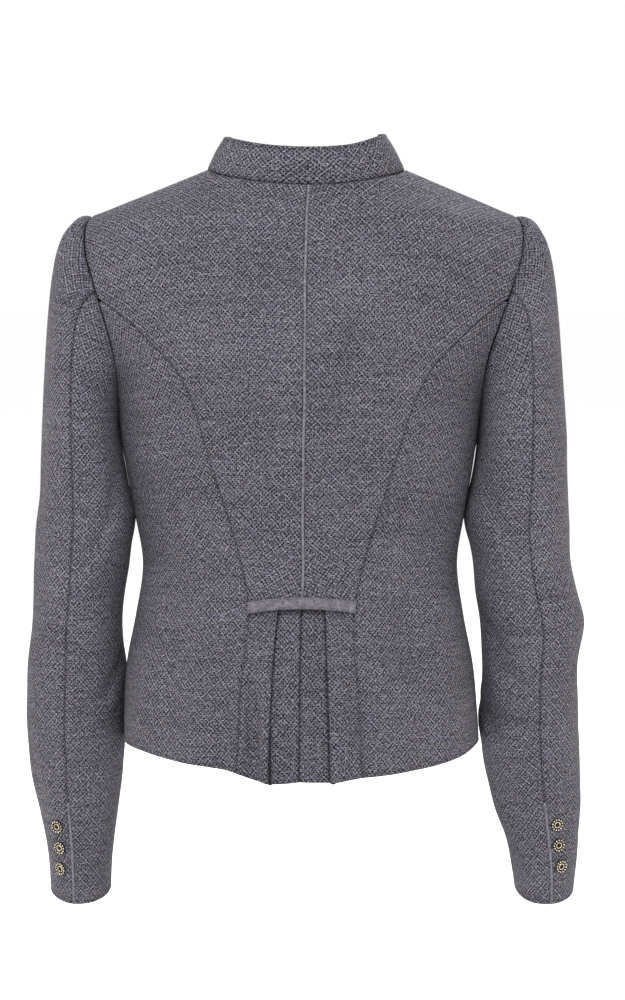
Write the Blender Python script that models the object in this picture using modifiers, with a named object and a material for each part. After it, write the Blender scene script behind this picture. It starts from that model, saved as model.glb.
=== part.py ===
import math

import bmesh
import bpy
import numpy as np
from mathutils import Matrix, Vector

# ---------------------------------------------------------------- sizes, mm
CLOTH = 2.0          # wall of the wool cloth
SEAM = 0.3           # gap between pieces at a seam
LAP = 16.0           # how far each front passes the centre front
SHOULDER_POINT = (88.5, 2.0, 3.4)    # where the shoulder seam meets the collar
SHOULDER_TIP = (189.0, 0.0, -37.6)   # where it meets the sleeve head
NECK_PART = 0.38     # part of the top edge that is neckline
COLLAR_HEIGHT = 33.0
COLLAR_WALL = 2.6
TAB_HALF, TAB_HIGH, TAB_ARCH, TAB_Z = 47.8, 10.4, 4.4, -380.0
BACK_SEAM_ANGLE, FRONT_SEAM_ANGLE = 82.0, 235.0   # seams round the sleeve, degrees


def table(columns, *rows):
    """A short table: one array for each named column."""
    return {n: np.array(c, float) for n, c in zip(columns.split(), zip(*rows))}


# One row for each level of a panel pair, hem to shoulder. k: distance up the
# cloth; zc, yc: height and depth on the centre line; xs, ys, zs: the side seam
# or armhole edge; hc, hs: length of the row's handles at the centre (part of
# xs) and at the edge; ang: direction of the row at the edge in plan, degrees;
# lift: how far the row arches up near the edge.
BACK = table(
    "k   zc    yc   xs     ys   zs      hc   hs  ang lift",
    (0, -530, 121, 160.0, -4, -509, .62, 78, 90, 0),
    (40, -490, 115, 158.8, -4, -476, .62, 74, 90, 0),
    (90, -440, 102, 155.5, -4, -436, .62, 66, 90, 0),
    (135, -395, 87, 147.5, -4, -395, .62, 56, 90, 0),
    (180, -350, 79, 141.3, -4, -350, .62, 51, 90, 0),
    (230, -300, 82, 147.8, -3, -305, .60, 53, 90, 0),
    (280, -250, 90, 155.5, -2, -262, .60, 57, 90, 0),
    (330, -200, 97, 162.0, -2, -213, .58, 60, 90, 0),
    (368, -165, 98, 165.0, 34, -172, .55, 44, 64, 3),
    (405, -128, 95, 173.0, 47, -139, .52, 44, 50, 5),
    (445, -90, 88, 185.5, 48, -100, .50, 44, 40, 8),
    (488, -48, 76, 195.5, 33, -64, .46, 42, 33, 12),
    (511, -27, 67, 195.5, 15, -45, .40, 42, 30, 14),
    (532, -9.5, 58, 189.0, 0, -37.6, .40, 40, 0, 0),
)
FRONT = table(
    "k   zc    yc   xs     ys   zs      hc   hs  ang lift",
    (0, -516, -117, 160.0, -4, -509, .60, 72, 90, 0),
    (40, -478, -113, 158.8, -4, -476, .60, 70, 90, 0),
    (90, -437, -107, 155.5, -4, -436, .60, 66, 90, 0),
    (135, -395, -101, 147.5, -4, -395, .60, 62, 90, 0),
    (180, -350, -98, 141.3, -4, -350, .60, 60, 90, 0),
    (230, -303, -106, 147.8, -3, -305, .62, 66, 90, 0),
    (280, -258, -119, 155.5, -2, -262, .64, 74, 90, 0),
    (330, -214, -123, 162.0, -2, -213, .64, 76, 90, 0),
    (368, -172, -114, 156.0, -36, -172, .60, 46, 60, 2),
    (405, -136, -102, 155.0, -47, -137, .55, 40, 46, 4),
    (445, -108, -91, 163.0, -46, -100, .50, 40, 38, 7),
    (488, -85, -81, 179.0, -29, -62, .44, 42, 32, 14),
    (511, -73, -75, 186.0, -13, -45, .40, 44, 30, 16),
    (532, -62, -70, 189.0, 0, -37.6, .40, 40, 0, 0),
)
# Curved seams down the panels: height and distance from the centre line.
BACK_PRINCESS = table(
    "z x", (-530, 55), (-461, 52), (-373, 48), (-330, 58), (-288, 70.5), (-240, 85.5),
    (-192, 102), (-172, 113), (-152, 132), (-143, 141), (-134, 150), (-125, 161), (-117, 171.5), (-111, 180.5), (-105, 190))
FRONT_PRINCESS = table(
    "z x", (-516, 84), (-460, 77), (-400, 67), (-350, 63), (-290, 73), (-240, 86),
    (-210, 93), (-180, 108), (-160, 120), (-145, 130), (-130, 141), (-118, 152), (-111, 158.3), (-104, 164))
# Edge of the centre back pleat: distance from the centre line down the fold.
PLEAT = table("z x radius", (-540, 26.5, 4.2), (-460, 24.5, 3.4), (-384, 20.5, 2.5))
# How the worn jacket stands: sideways sway and turn of the torso with height.
STANCE = table(
    "z sway turn", (-530, 1.5, .020), (-420, 4.0, -.010), (-350, 3.6, -.035), (-275, 4.2, -.045),
    (-200, 4.2, -.045), (-125, 3.0, -.045), (-60, 1.5, -.045), (-22, -.5, -.045), (0, -1.8, -.045), (40, -2.0, -.045))
# Largest folds of the peplum beside the pleat: place at the tab and at the
# hem, half width at the hem, and how far the cloth stands out there.
PEPLUM_FOLDS = table(
    "side top hem wide out", (1, 47, 40, 11, -6.5), (1, 30, 28, 9, 4.5),
    (-1, 46, 52, 12, -4.5), (-1, 30, 34, 10, 3.0), (-1, 70, 82, 14, 2.5), (1, 90, 100, 16, 3.0))
# How far the back hem lies above its smooth line, by distance from the centre.
HEM_LIFT = {
    1: table("x lift", (0, -1.7), (37, -2.2), (50, 1.8), (62, 5.0), (80, 5.8), (100, 5.2), (125, 4.3), (145, 3.0), (160, 0)),
    -1: table("x lift", (0, -1.7), (30, -2.4), (60, -.8), (100, -1.3), (130, -2.4), (148, -2.2), (160, 0)),
}
# Sleeve tubes below the armhole, one row a ring. k: distance down the sleeve;
# z: height of its middle; inner, outer: distance of its two sides from the
# middle plane; y: depth of its middle; deep: half its depth; tilt: degrees.
SLEEVES = {
    1: table(
        "k   z     inner  outer  y    deep tilt",
        (0, -235, 166.6, 235.8, -8, 60, 0), (39, -274, 161.0, 238.2, -7, 57, 0), (75, -310, 155.0, 241.0, -6, 54, 0),
        (111, -346, 157.7, 243.3, -6, 52, 1), (138, -373, 161.2, 243.7, -7, 51, 3), (165, -400, 163.4, 245.8, -10, 51, 6),
        (206, -440, 162.6, 250.1, -17, 50, 10), (261, -494, 164.0, 251.8, -28, 49, 11.5), (316, -548, 166.3, 247.4, -39, 48, 11.5),
        (344, -575, 169.4, 242.4, -44, 47.5, 11.5), (372, -602, 173.4, 236.7, -49.5, 47, 11.5), (423, -651.5, 178.2, 232.2, -59, 47, 11.5)),
    -1: table(
        "k   z     inner  outer  y    deep tilt",
        (0, -235, 158.2, 236.5, -8, 60, 0), (39, -274, 152.4, 238.5, -7, 57, 0), (75, -310, 146.4, 239.4, -6, 54, 0),
        (111, -346, 151.4, 239.9, -6, 52, 1), (138, -373, 154.2, 246.4, -7, 51, 3), (165, -400, 158.9, 253.0, -10, 51, 6),
        (206, -440, 161.3, 248.4, -17, 50, 10), (261, -494, 160.8, 250.2, -28, 49, 11.5), (316, -548, 167.0, 252.1, -39, 48, 11.5),
        (344, -575, 174.2, 252.6, -44, 47.5, 11.5), (372, -602, 184.2, 251.2, -49.5, 47, 11.5), (423, -651.5, 194.0, 247.6, -59, 47, 11.5)),
}
# How the sleeve head leaves the armhole, by angle round the sleeve (0 outside,
# 90 back, 180 under the arm): direction, and length of the curve's handles.
HEAD = table(
    "angle x    y     z    start end",
    (0, 1.0, 0.0, .34, 34, 112), (45, .92, .30, .10, 32, 100), (90, .78, .42, -.50, 27, 62),
    (135, .42, .30, -.90, 14, 30), (180, .06, 0.0, -1.0, 6, 8), (225, .42, -.20, -.90, 14, 28),
    (270, .78, -.40, -.50, 27, 58), (315, .92, -.30, .10, 32, 96), (360, 1.0, 0.0, .34, 34, 112))
# Angles round the sleeve where the panels have a row at the armhole.
ARM_ANGLES = (0, 16, 36, 60, 82, 90, 108, 125, 152, 180)
PRINCESS_ANGLE = 90   # where the princess seams meet the armhole
TOP_K = BACK["k"][-1]
ARM_K = BACK["k"][7]


# ------------------------------------------------------------- smooth curves
def slopes(k, p):
    """Slopes of the smooth curve through the values p at the distances k."""
    k = k.reshape((-1,) + (1,) * (p.ndim - 1))
    h = k[1:] - k[:-1]
    d = (p[1:] - p[:-1]) / h
    m = np.empty_like(p)
    m[1:-1] = (d[:-1] * h[1:] + d[1:] * h[:-1]) / (h[1:] + h[:-1])
    m[0] = 1.5 * d[0] - 0.5 * m[1]
    m[-1] = 1.5 * d[-1] - 0.5 * m[-2]
    return m


def cubic(k, p, m, at):
    """Value at the distances `at` of the curve with the points p and slopes m."""
    i = np.clip(np.searchsorted(k, at, "right") - 1, 0, len(k) - 2)
    pick = (i,) if p.ndim == 1 else (i, np.arange(len(at)))
    nxt = (i + 1,) if p.ndim == 1 else (i + 1, np.arange(len(at)))
    h = k[i + 1] - k[i]
    t = (at - k[i]) / h
    if p.ndim > 1:
        h, t = h[:, None], t[:, None]
    return ((2 * t**3 - 3 * t**2 + 1) * p[pick] + (t**3 - 2 * t**2 + t) * h * m[pick]
            + (3 * t**2 - 2 * t**3) * p[nxt] + (t**3 - t**2) * h * m[nxt])


def column(tab, name, at, key="z"):
    at = np.atleast_1d(np.asarray(at, float))
    k = tab[key]
    order = np.argsort(k)
    k, p = k[order], tab[name][order]
    return cubic(k, p, slopes(k, p), np.clip(at, k[0], k[-1]))


def smooth(x):
    x = np.clip(x, 0, 1)
    return x * x * (3 - 2 * x)


def unit(v):
    return v / np.maximum(np.linalg.norm(v, axis=-1, keepdims=True), 1e-9)


# ------------------------------------------------------------ torso surface
def face_rows(face, s):
    """Points of every row of the back (1) or front (-1), at the parts s of its
    width from the centre line to the side: rows x points x 3."""
    t = BACK if face > 0 else FRONT
    col = {n: c[:, None] for n, c in t.items()}
    s = s[None, :]
    b0, b1, b2, b3 = (1 - s) ** 3, 3 * s * (1 - s) ** 2, 3 * s * s * (1 - s), s**3
    a = np.radians(col["ang"])
    x = b1 * col["hc"] * col["xs"] + b2 * (col["xs"] - col["hs"] * np.cos(a)) + b3 * col["xs"]
    y = (b0 + b1) * col["yc"] + b2 * (col["ys"] + face * col["hs"] * np.sin(a)) + b3 * col["ys"]
    z = b0 * col["zc"] + b1 * (col["zc"] + col["lift"] * .5) + b2 * (col["zs"] + col["lift"]) + b3 * col["zs"]
    p = np.stack([x, y, z], -1)
    # the top row is the neckline, then the shoulder seam
    s = s[0]
    neck, tip = np.array(SHOULDER_POINT), np.array(SHOULDER_TIP)
    q = np.clip(s / NECK_PART, 0, 1) * math.pi / 2
    yc, zc = t["yc"][-1], t["zc"][-1]
    rise = np.sin(q) ** 2 if face > 0 else np.sin(q) ** 1.6
    curve = np.stack([neck[0] * np.sin(q), neck[1] + (yc - neck[1]) * np.cos(q), zc + (neck[2] - zc) * rise], -1)
    f = np.clip((s - NECK_PART) / (1 - NECK_PART), 0, 1)[:, None]
    p[-1] = np.where(s[:, None] <= NECK_PART, curve, neck + (tip - neck) * f)
    return p


def peplum(side, x, z):
    """How far the largest folds of the peplum stand out."""
    t = PEPLUM_FOLDS
    down = smooth((-385 - z) / 145)
    total = 0 * x
    for i in range(len(t["side"])):
        if t["side"][i] == side:
            mid = t["top"][i] + (t["hem"][i] - t["top"][i]) * down
            total = total + t["out"][i] * down * np.exp(-(((x - mid) / (t["wide"][i] * (.6 + .4 * down))) ** 2))
    return total


def stance(p):
    z = p[:, 2]
    out = p.copy()
    out[:, 0] += column(STANCE, "sway", z) + column(STANCE, "turn", z) * p[:, 1]
    return out


def plain(face, side, k, s):
    """Torso point before the stance: k up the cloth, s across it."""
    k, s = np.broadcast_arrays(np.asarray(k, float), np.asarray(s, float))
    k, s = np.atleast_1d(k).ravel(), np.atleast_1d(s).ravel()
    t = BACK if face > 0 else FRONT
    p = face_rows(face, s)
    m = slopes(t["k"], p)
    # over the shoulder, the back runs on into the front
    other = face_rows(-face, s)[-2]
    over = (other - p[-2]) / (TOP_K - t["k"][-2]) / 2
    w = smooth((s - NECK_PART + .14) / .14)[:, None]
    m[-1] = m[-1] * (1 - w) + over * w
    q = cubic(t["k"], p, m, k)
    if face > 0:
        q[:, 1] += peplum(side, q[:, 0], q[:, 2])
        q[:, 2] += column(HEM_LIFT[side], "lift", q[:, 0], "x") * smooth((130 - k) / 130)
    else:
        q[:, 1] -= 10 * np.exp(-((q[:, 0] - 84) / 46) ** 2 - ((q[:, 2] + 238) / 52) ** 2)
    return q


def torso(face, side, k, s):
    p = plain(face, side, k, s)
    p[:, 0] *= side
    return stance(p)


def torso_normal(face, side, k, s):
    k, s = np.broadcast_arrays(np.asarray(k, float), np.asarray(s, float))
    k, s = np.atleast_1d(k).ravel(), np.atleast_1d(s).ravel()
    a, b = np.clip(s - .004, 0, 1), np.clip(s + .004, 0, 1)
    c, d = np.clip(k - 1, 0, TOP_K), np.clip(k + 1, 0, TOP_K)
    across = torso(face, side, k, b) - torso(face, side, k, a)
    up = torso(face, side, d, s) - torso(face, side, c, s)
    return unit(-np.cross(across, up) * side * face)


def width(face, k, s):
    """Millimetres of cloth for each unit of s."""
    k, s = np.broadcast_arrays(np.atleast_1d(np.asarray(k, float)), np.atleast_1d(np.asarray(s, float)))
    a, b = np.clip(s - .01, 0, 1), np.clip(s + .01, 0, 1)
    return np.linalg.norm(plain(face, 1, k, b) - plain(face, 1, k, a), axis=1) / (b - a)


def part_at(face, side, k, line):
    """The part s of the width, at each k, where the panel crosses the line
    x = line(z); 1 where it is beyond the edge."""
    s = np.linspace(0, 1, 161)
    out = []
    for kk in np.atleast_1d(k):
        p = plain(face, side, np.full(s.shape, kk), s)
        gap = p[:, 0] - line(p[:, 2])
        i = int(np.argmax(gap > 0)) if (gap > 0).any() else 0
        out.append(1.0 if i == 0 else s[i - 1] + (s[i] - s[i - 1]) * -gap[i - 1] / (gap[i] - gap[i - 1]))
    return np.array(out)


def place(face, side, x, z):
    """k and s of the torso point at the distance x from the centre line and
    the height z, before the stance."""
    x, z = np.broadcast_arrays(np.atleast_1d(np.asarray(x, float)), np.atleast_1d(np.asarray(z, float)))
    t = BACK if face > 0 else FRONT
    k = np.interp(z, t["zc"], t["k"])
    s = np.clip(x / 175, 0.001, .98)
    for _ in range(12):
        p = plain(face, side, k, s)
        ps = (plain(face, side, k, np.clip(s + .003, 0, 1)) - p) / .003
        pk = (plain(face, side, np.clip(k + .5, 0, TOP_K), s) - p) / .5
        ex, ez = x - p[:, 0], z - p[:, 2]
        det = ps[:, 0] * pk[:, 2] - ps[:, 2] * pk[:, 0]
        det = np.where(np.abs(det) < 1e-6, 1e-6, det)
        s = np.clip(s + (ex * pk[:, 2] - ez * pk[:, 0]) / det, 0, 1)
        k = np.clip(k + (ps[:, 0] * ez - ps[:, 2] * ex) / det, 0, TOP_K)
    return k, s


# ----------------------------------------------------------- sleeve surface
def ring(side, k, angle):
    """Point of the sleeve tube at the distance k down it and the angle round it."""
    t = SLEEVES[side]
    k, angle = np.broadcast_arrays(np.atleast_1d(np.asarray(k, float)), np.atleast_1d(np.asarray(angle, float)))
    v = {n: column(t, n, k, "k") for n in ("z", "inner", "outer", "y", "deep", "tilt")}
    a, c, d = np.radians(angle), (v["inner"] + v["outer"]) / 2, (v["outer"] - v["inner"]) / 2
    cx, sy = np.cos(a), np.sin(a)
    n = 2 / 2.15
    x = c + d * np.sign(cx) * np.abs(cx) ** n
    y = v["deep"] * np.sign(sy) * np.abs(sy) ** n
    tilt = np.radians(v["tilt"])
    return np.stack([side * x, v["y"] + y * np.cos(tilt), v["z"] - y * np.sin(tilt)], -1)


def arm_level(angle):
    """k of the armhole edge at an angle round the sleeve, 0 at the shoulder."""
    return TOP_K + (ARM_K - TOP_K) * np.asarray(angle, float) / 180


ARM_EDGE = {}


def armhole(side, angle):
    """The armhole edge at the angle round the sleeve, moved out by the seam
    gap. It runs straight between the panel rows, as the panels' edges do."""
    if side not in ARM_EDGE:
        half = np.array(ARM_ANGLES, float)
        edge = []
        for face, turn in ((1, half), (-1, half[-2::-1])):
            k = arm_level(turn)
            e = torso(face, side, k, np.ones(len(k)))
            n = torso_normal(face, side, k, np.ones(len(k)))
            past = unit(e - torso(face, side, k, np.full(len(k), .98)))
            edge.append(e + n * .45 + past * .45)
        edge[1][-1] = edge[0][0]
        ARM_EDGE[side] = (np.concatenate([half, 360 - half[-2::-1]]), np.concatenate(edge))
    at, edge = ARM_EDGE[side]
    angle = np.atleast_1d(np.asarray(angle, float)) % 360
    return np.stack([np.interp(angle, at, edge[:, i]) for i in range(3)], -1)


def sleeve(side, w, angle):
    """Sleeve surface. w from -1 to 0 is the sleeve head, from the armhole to
    the top of the tube; from 0 on it is the distance down the tube in mm."""
    w, angle = np.broadcast_arrays(np.atleast_1d(np.asarray(w, float)), np.atleast_1d(np.asarray(angle, float)))
    out = ring(side, np.maximum(w, 0), angle)
    use = w < 0
    if use.any():
        a = angle[use]
        t = (w[use] + 1)[:, None]
        h = {n: column(HEAD, n, a % 360, "angle") for n in ("x", "y", "z", "start", "end")}
        p0, p3 = armhole(side, a), ring(side, np.zeros(len(a)), a)
        go = unit(np.stack([side * h["x"], h["y"], h["z"]], -1))
        p1 = p0 + go * h["start"][:, None]
        lean = (.035 if side > 0 else .065) * np.maximum(np.cos(np.radians(a)), 0)
        p2 = p3 + np.stack([-side * lean, 0 * a, 1 + 0 * a], -1) * h["end"][:, None]
        out[use] = (1 - t) ** 3 * p0 + 3 * t * (1 - t) ** 2 * p1 + 3 * t * t * (1 - t) * p2 + t**3 * p3
    return out


def sleeve_normal(side, w, angle):
    w, angle = np.broadcast_arrays(np.atleast_1d(np.asarray(w, float)), np.atleast_1d(np.asarray(angle, float)))
    step = np.where(w < 0, .01, 1.0)
    end = SLEEVES[side]["k"][-1]
    a = np.where(w < 0, np.maximum(w - step, -1), np.maximum(w - step, 0))
    b = np.where(w < 0, np.minimum(w + step, -1e-6), np.minimum(w + step, end))
    down = unit(sleeve(side, b, angle) - sleeve(side, a, angle))
    around = unit(sleeve(side, w, angle + 1) - sleeve(side, w, angle - 1))
    return unit(np.cross(down, around) * side)


# ------------------------------------------------------------ collar surface
def neck_edge(u):
    """The neck edge: u from 0 at the centre back to 1 at the centre front on
    the left, and to -1 on the right."""
    u = np.atleast_1d(np.asarray(u, float))
    out = np.empty((len(u), 3))
    for side in (1, -1):
        for face in (1, -1):
            a = np.abs(u)
            use = ((u >= 0) if side > 0 else (u < 0)) & ((a <= .5) if face > 0 else (a > .5))
            if use.any():
                s = NECK_PART * (a[use] / .5 if face > 0 else (1 - a[use]) / .5)
                out[use] = torso(face, side, np.full(use.sum(), TOP_K), s)
    return out


NECK_U = []


def neckline(u):
    """The neck edge as the panels have it, straight between their columns."""
    if not len(NECK_U):
        return neck_edge(u)
    edge = neck_edge(np.array(NECK_U))
    return np.stack([np.interp(u, NECK_U, edge[:, i]) for i in range(3)], -1)


def collar(u, h):
    """Collar surface: h from 0 at the neck seam to 1 at the top edge."""
    u, h = np.broadcast_arrays(np.atleast_1d(np.asarray(u, float)), np.atleast_1d(np.asarray(h, float)))
    base = neckline(u)
    a = np.abs(u) * math.pi
    lean_x = np.where(u < 0, 18.0, 15.5) * np.sin(a) ** 2 * np.sign(u) + 5 * np.sign(u) * np.sin(a) * (np.abs(u) > .5)
    lean_y = np.where(np.abs(u) < .5, 6.5 * np.cos(a), 9 * np.cos(a))
    high = COLLAR_HEIGHT - 2.5 * np.sin(a) ** 2 - 3.0 * smooth((np.abs(u) - .55) / .45)
    high = high + 2.2 * smooth((-u - .12) / .2) * smooth((.75 + u) / .2)
    bow = 1.6 * np.sin(math.pi * h)
    top = base + np.stack([-lean_x, -lean_y, high], -1)
    rise = np.where(np.abs(u) > .5, 0, 0)
    p = base + (top - base) * h[:, None]
    out = unit(np.stack([np.sin(a) * np.sign(u), np.cos(a), 0 * a], -1))
    p = p + out * bow[:, None]
    p[:, 2] += .45 + rise
    p[:, :2] -= out[:, :2] * .1
    return p


# ------------------------------------------------------------ making objects
NAME = "folk_jacket"
WOOL = (0.132, 0.126, 0.150)
FELT = (0.215, 0.205, 0.240)
METAL = (0.45, 0.42, 0.36)
CUFF_RADIUS, FRONT_RADIUS = 5.6, 7.5
# Buttons beside the cuff vents: height above the cuff edge, angle round the sleeve.
CUFF_BUTTONS = {
    1: table("up angle", (75, 64), (54, 63), (33, 60)),
    -1: table("up angle", (77, 69), (57, 69), (36, 66)),
}
FRONT_BUTTONS, FRONT_TOP, FRONT_STEP = 7, -86.0, 47.5


def clear():
    for obj in list(bpy.data.objects):
        bpy.data.objects.remove(obj, do_unlink=True)


def material(name, colour, roughness, metallic=0.0):
    mat = bpy.data.materials.new(name)
    mat.use_nodes = True
    shader = mat.node_tree.nodes["Principled BSDF"]
    shader.inputs["Base Color"].default_value = (*colour, 1)
    shader.inputs["Roughness"].default_value = roughness
    shader.inputs["Metallic"].default_value = metallic
    mat.diffuse_color = (*colour, 1)
    return mat


def add(name, mesh, mat, collection, parent):
    obj = bpy.data.objects.new(name, mesh)
    collection.objects.link(obj)
    obj.parent = parent
    mesh.materials.append(mat)
    return obj


def cloth(name, grid, mat, collection, parent, wall=CLOTH, outward=False, skip=None, flip=False):
    """A sheet through a grid of points in mm (rows x columns x 3) as an open
    surface, made a wall by Solidify: inwards from it, or outwards for trim."""
    rows, cols = grid.shape[:2]
    bm = bmesh.new()
    verts = [[bm.verts.new(grid[i, j] / 1000) for j in range(cols)] for i in range(rows)]
    for i in range(rows - 1):
        for j in range(cols - 1):
            if skip is None or not skip(i, j):
                quad = [verts[i][j], verts[i][j + 1], verts[i + 1][j + 1], verts[i + 1][j]]
                bm.faces.new(quad[::-1] if flip else quad)
    bmesh.ops.delete(bm, geom=[v for v in bm.verts if not v.link_faces], context="VERTS")
    mesh = bpy.data.meshes.new(name)
    bm.to_mesh(mesh)
    bm.free()
    mesh.shade_smooth()
    obj = add(name, mesh, mat, collection, parent)
    wall_mod = obj.modifiers.new("wall", "SOLIDIFY")
    wall_mod.thickness = wall / 1000
    wall_mod.offset = 1 if outward else -1
    wall_mod.use_even_offset = True
    wall_mod.use_quality_normals = True
    return obj


def spread(a, b, count, edge):
    """Fractions from a to b in even steps, with a narrow step at each end so
    that the wall there stands square to the surface."""
    return np.concatenate([[a], np.linspace(a + edge, b - edge, count), [b]])


def tab_level():
    return float(place(1, 1, 20.0, TAB_Z - 3.0)[0][0])


def shared_rows():
    """Rows that all the panels share, so that their seams run edge to edge:
    closer together under the tab, and one at each angle of the armhole."""
    tab = tab_level()
    low = [0, 34, 70, 106, tab - 11, tab - 1, tab, tab + 12, 190, 232, 280]
    high = [float(arm_level(a)) for a in ARM_ANGLES[:0:-1]]
    return np.array(low + high + [TOP_K - 2.2, TOP_K - SEAM * .6])


def across(face, k, s0, s1, neck, rest):
    """Grid columns of a panel, from s0 to s1 at each k. At the top, one column
    ends at the corner of neckline and shoulder. The last column is narrow."""
    n = neck + rest
    even = np.linspace(0, 1, n + 1)
    corner = (NECK_PART - s0[-1]) / (s1[-1] - s0[-1])
    top = np.concatenate([np.linspace(0, corner, neck + 1), np.linspace(corner, 1, rest + 1)[1:]]) if rest else even
    w = smooth((k - (TOP_K - 190)) / 188)[:, None]
    g = even * (1 - w) + top * w
    s1 = s1 - SEAM * .6 / width(face, k, s1 - .001)
    s = s0[:, None] + (s1 - s0)[:, None] * g
    narrow = s1 - np.minimum(2.2 / width(face, k, s1 - .001), (s1 - s0) / n * .3)
    return np.concatenate([s[:, :-1], narrow[:, None], s[:, -1:]], 1)


def start(face, k, s0):
    """The first two columns of a panel that starts at a seam at s0."""
    w = width(face, k, s0 + .001)
    return s0 + SEAM * .6 / w, s0 + 2.4 / w


def points(face, side, k, s):
    kk = np.repeat(np.asarray(k)[:, None], s.shape[1], 1)
    return torso(face, side, kk.ravel(), s.ravel()).reshape(s.shape + (3,))


def princess_line(face):
    t = BACK_PRINCESS if face > 0 else FRONT_PRINCESS
    return lambda z: np.where(z > t["z"].max(), t["x"][np.argmax(t["z"])] + (z - t["z"].max()) * 2.2, column(t, "x", z))


def seam_end(face):
    """Where the princess seam meets the armhole."""
    return float(arm_level(PRINCESS_ANGLE))


def back_panel(side, mat, col, root):
    tab = tab_level()
    k = shared_rows()
    seam = part_at(1, side, k, princess_line(1))
    z = plain(1, side, k, np.full(len(k), .1))[:, 2]
    radius = column(PLEAT, "radius", z)
    edge = column(PLEAT, "x", z) + radius
    fold = np.array([part_at(1, side, kk, lambda zz, e=e: 0 * zz + e)[0] for kk, e in zip(k, edge)])
    main = across(1, k, fold, seam, 4, 4)
    grid = points(1, side, k, main)
    n = torso_normal(1, side, k, fold)
    e = unit(torso(1, side, k, fold - .02) - torso(1, side, k, fold))
    inner = []
    turns = (180, 135, 90, 45)
    for i in range(len(k)):
        if k[i] >= tab:      # whole cloth up to the centre back seam
            a, b = start(1, k[i:i + 1], 0.0)
            s = np.concatenate([a, b, np.linspace(b[0], fold[i], len(turns))[1:-1], [fold[i] - .006]])
            inner.append(torso(1, side, np.full(len(s), k[i]), s))
        else:                # the pleat: the edge folds under and runs back
            far = fold[i] + 11.0 / width(1, k[i], fold[i])[0]
            back = torso(1, side, k[i], far) - torso_normal(1, side, k[i], far) * 2 * radius[i]
            arc = [grid[i, 0] + e[i] * radius[i] * math.sin(a) - n[i] * radius[i] * (1 - math.cos(a)) for a in np.radians(turns)]
            inner.append(np.array([back[0]] + arc))
    grid = np.concatenate([np.array(inner), grid], 1)
    at = int(np.argmax(k >= tab)) - 1
    return cloth(f"back_{'left' if side > 0 else 'right'}", grid, mat, col, root,
                 skip=lambda i, j: i == at and j < len(turns) + 1, flip=side > 0)


def pleat_inlay(side, mat, col, root):
    tab = tab_level()
    k = shared_rows()
    k = np.concatenate([[.5], k[(k > 1) & (k < tab + 1)], [tab + 8]])
    z = plain(1, side, k, np.full(len(k), .1))[:, 2]
    radius = column(PLEAT, "radius", z)
    edge = column(PLEAT, "x", z) + radius + 8
    far = np.array([part_at(1, side, kk, lambda zz, e=e: 0 * zz + e)[0] for kk, e in zip(k, edge)])
    a, b = start(1, k, 0.0)
    s = np.concatenate([a[:, None], b[:, None] + (far - b)[:, None] * np.linspace(0, 1, 5)], 1)
    n = torso_normal(1, side, np.repeat(k, s.shape[1]), s.ravel()).reshape(s.shape + (3,))
    grid = points(1, side, k, s) - n * (2 * radius + .8)[:, None, None]
    return cloth(f"pleat_inlay_{'left' if side > 0 else 'right'}", grid, mat, col, root, flip=side > 0)


def side_panel(face, side, mat, col, root):
    k = shared_rows()
    k = k[k < seam_end(face) + .01]
    s0 = part_at(face, side, k, princess_line(face))
    a, b = start(face, k, s0)
    end = np.ones(len(k)) - SEAM * .6 / width(face, k, np.full(len(k), .999))
    b = np.minimum(b, a + (end - a) * .25)
    last = end - np.minimum(2.2 / width(face, k, np.full(len(k), .999)), (end - a) * .25)
    s = np.concatenate([a[:, None], b[:, None] + (last - b)[:, None] * np.linspace(0, 1, 4), end[:, None]], 1)
    name = f"{'back' if face > 0 else 'front'}_side_{'left' if side > 0 else 'right'}"
    return cloth(name, points(face, side, k, s), mat, col, root, flip=(side > 0) == (face > 0))


def front_panel(side, mat, col, root):
    """Right front over left, both passing the centre front."""
    k = shared_rows()
    seam = part_at(-1, side, k, princess_line(-1))
    w = width(-1, k, np.full(len(k), .002))
    if side > 0:     # the under front steps inwards beside the lap
        main = across(-1, k, 27 / w, seam, 3, 3)
        main = np.concatenate([np.stack([-LAP / w, 0 * w, 17 / w, 22 / w], 1), main], 1)
    else:
        main = np.concatenate([-LAP / w[:, None], across(-1, k, 0 * k, seam, 4, 3)], 1)
    kk = np.repeat(k[:, None], main.shape[1], 1).ravel()
    c = main.ravel()
    p, n = np.empty((len(c), 3)), np.empty((len(c), 3))
    for own, use in ((side, c >= 0), (-side, c < 0)):
        p[use] = torso(-1, own, kk[use], np.abs(c[use]))
        n[use] = torso_normal(-1, own, kk[use], np.abs(c[use]))
    if side > 0:
        x = c * np.repeat(w, main.shape[1])
        p -= n * ((CLOTH + .5) * smooth((25 - x) / 7))[:, None]
    return cloth(f"front_{'left' if side > 0 else 'right'}", p.reshape(main.shape + (3,)), mat, col, root, flip=side < 0)


def sleeve_rows(side):
    end = SLEEVES[side]["k"][-1]
    return np.array([-1, -.97, -.87, -.7, -.45, 0, 40, 80, 165, 212, 264, 318, 346, 374, end - 2, end])


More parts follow.
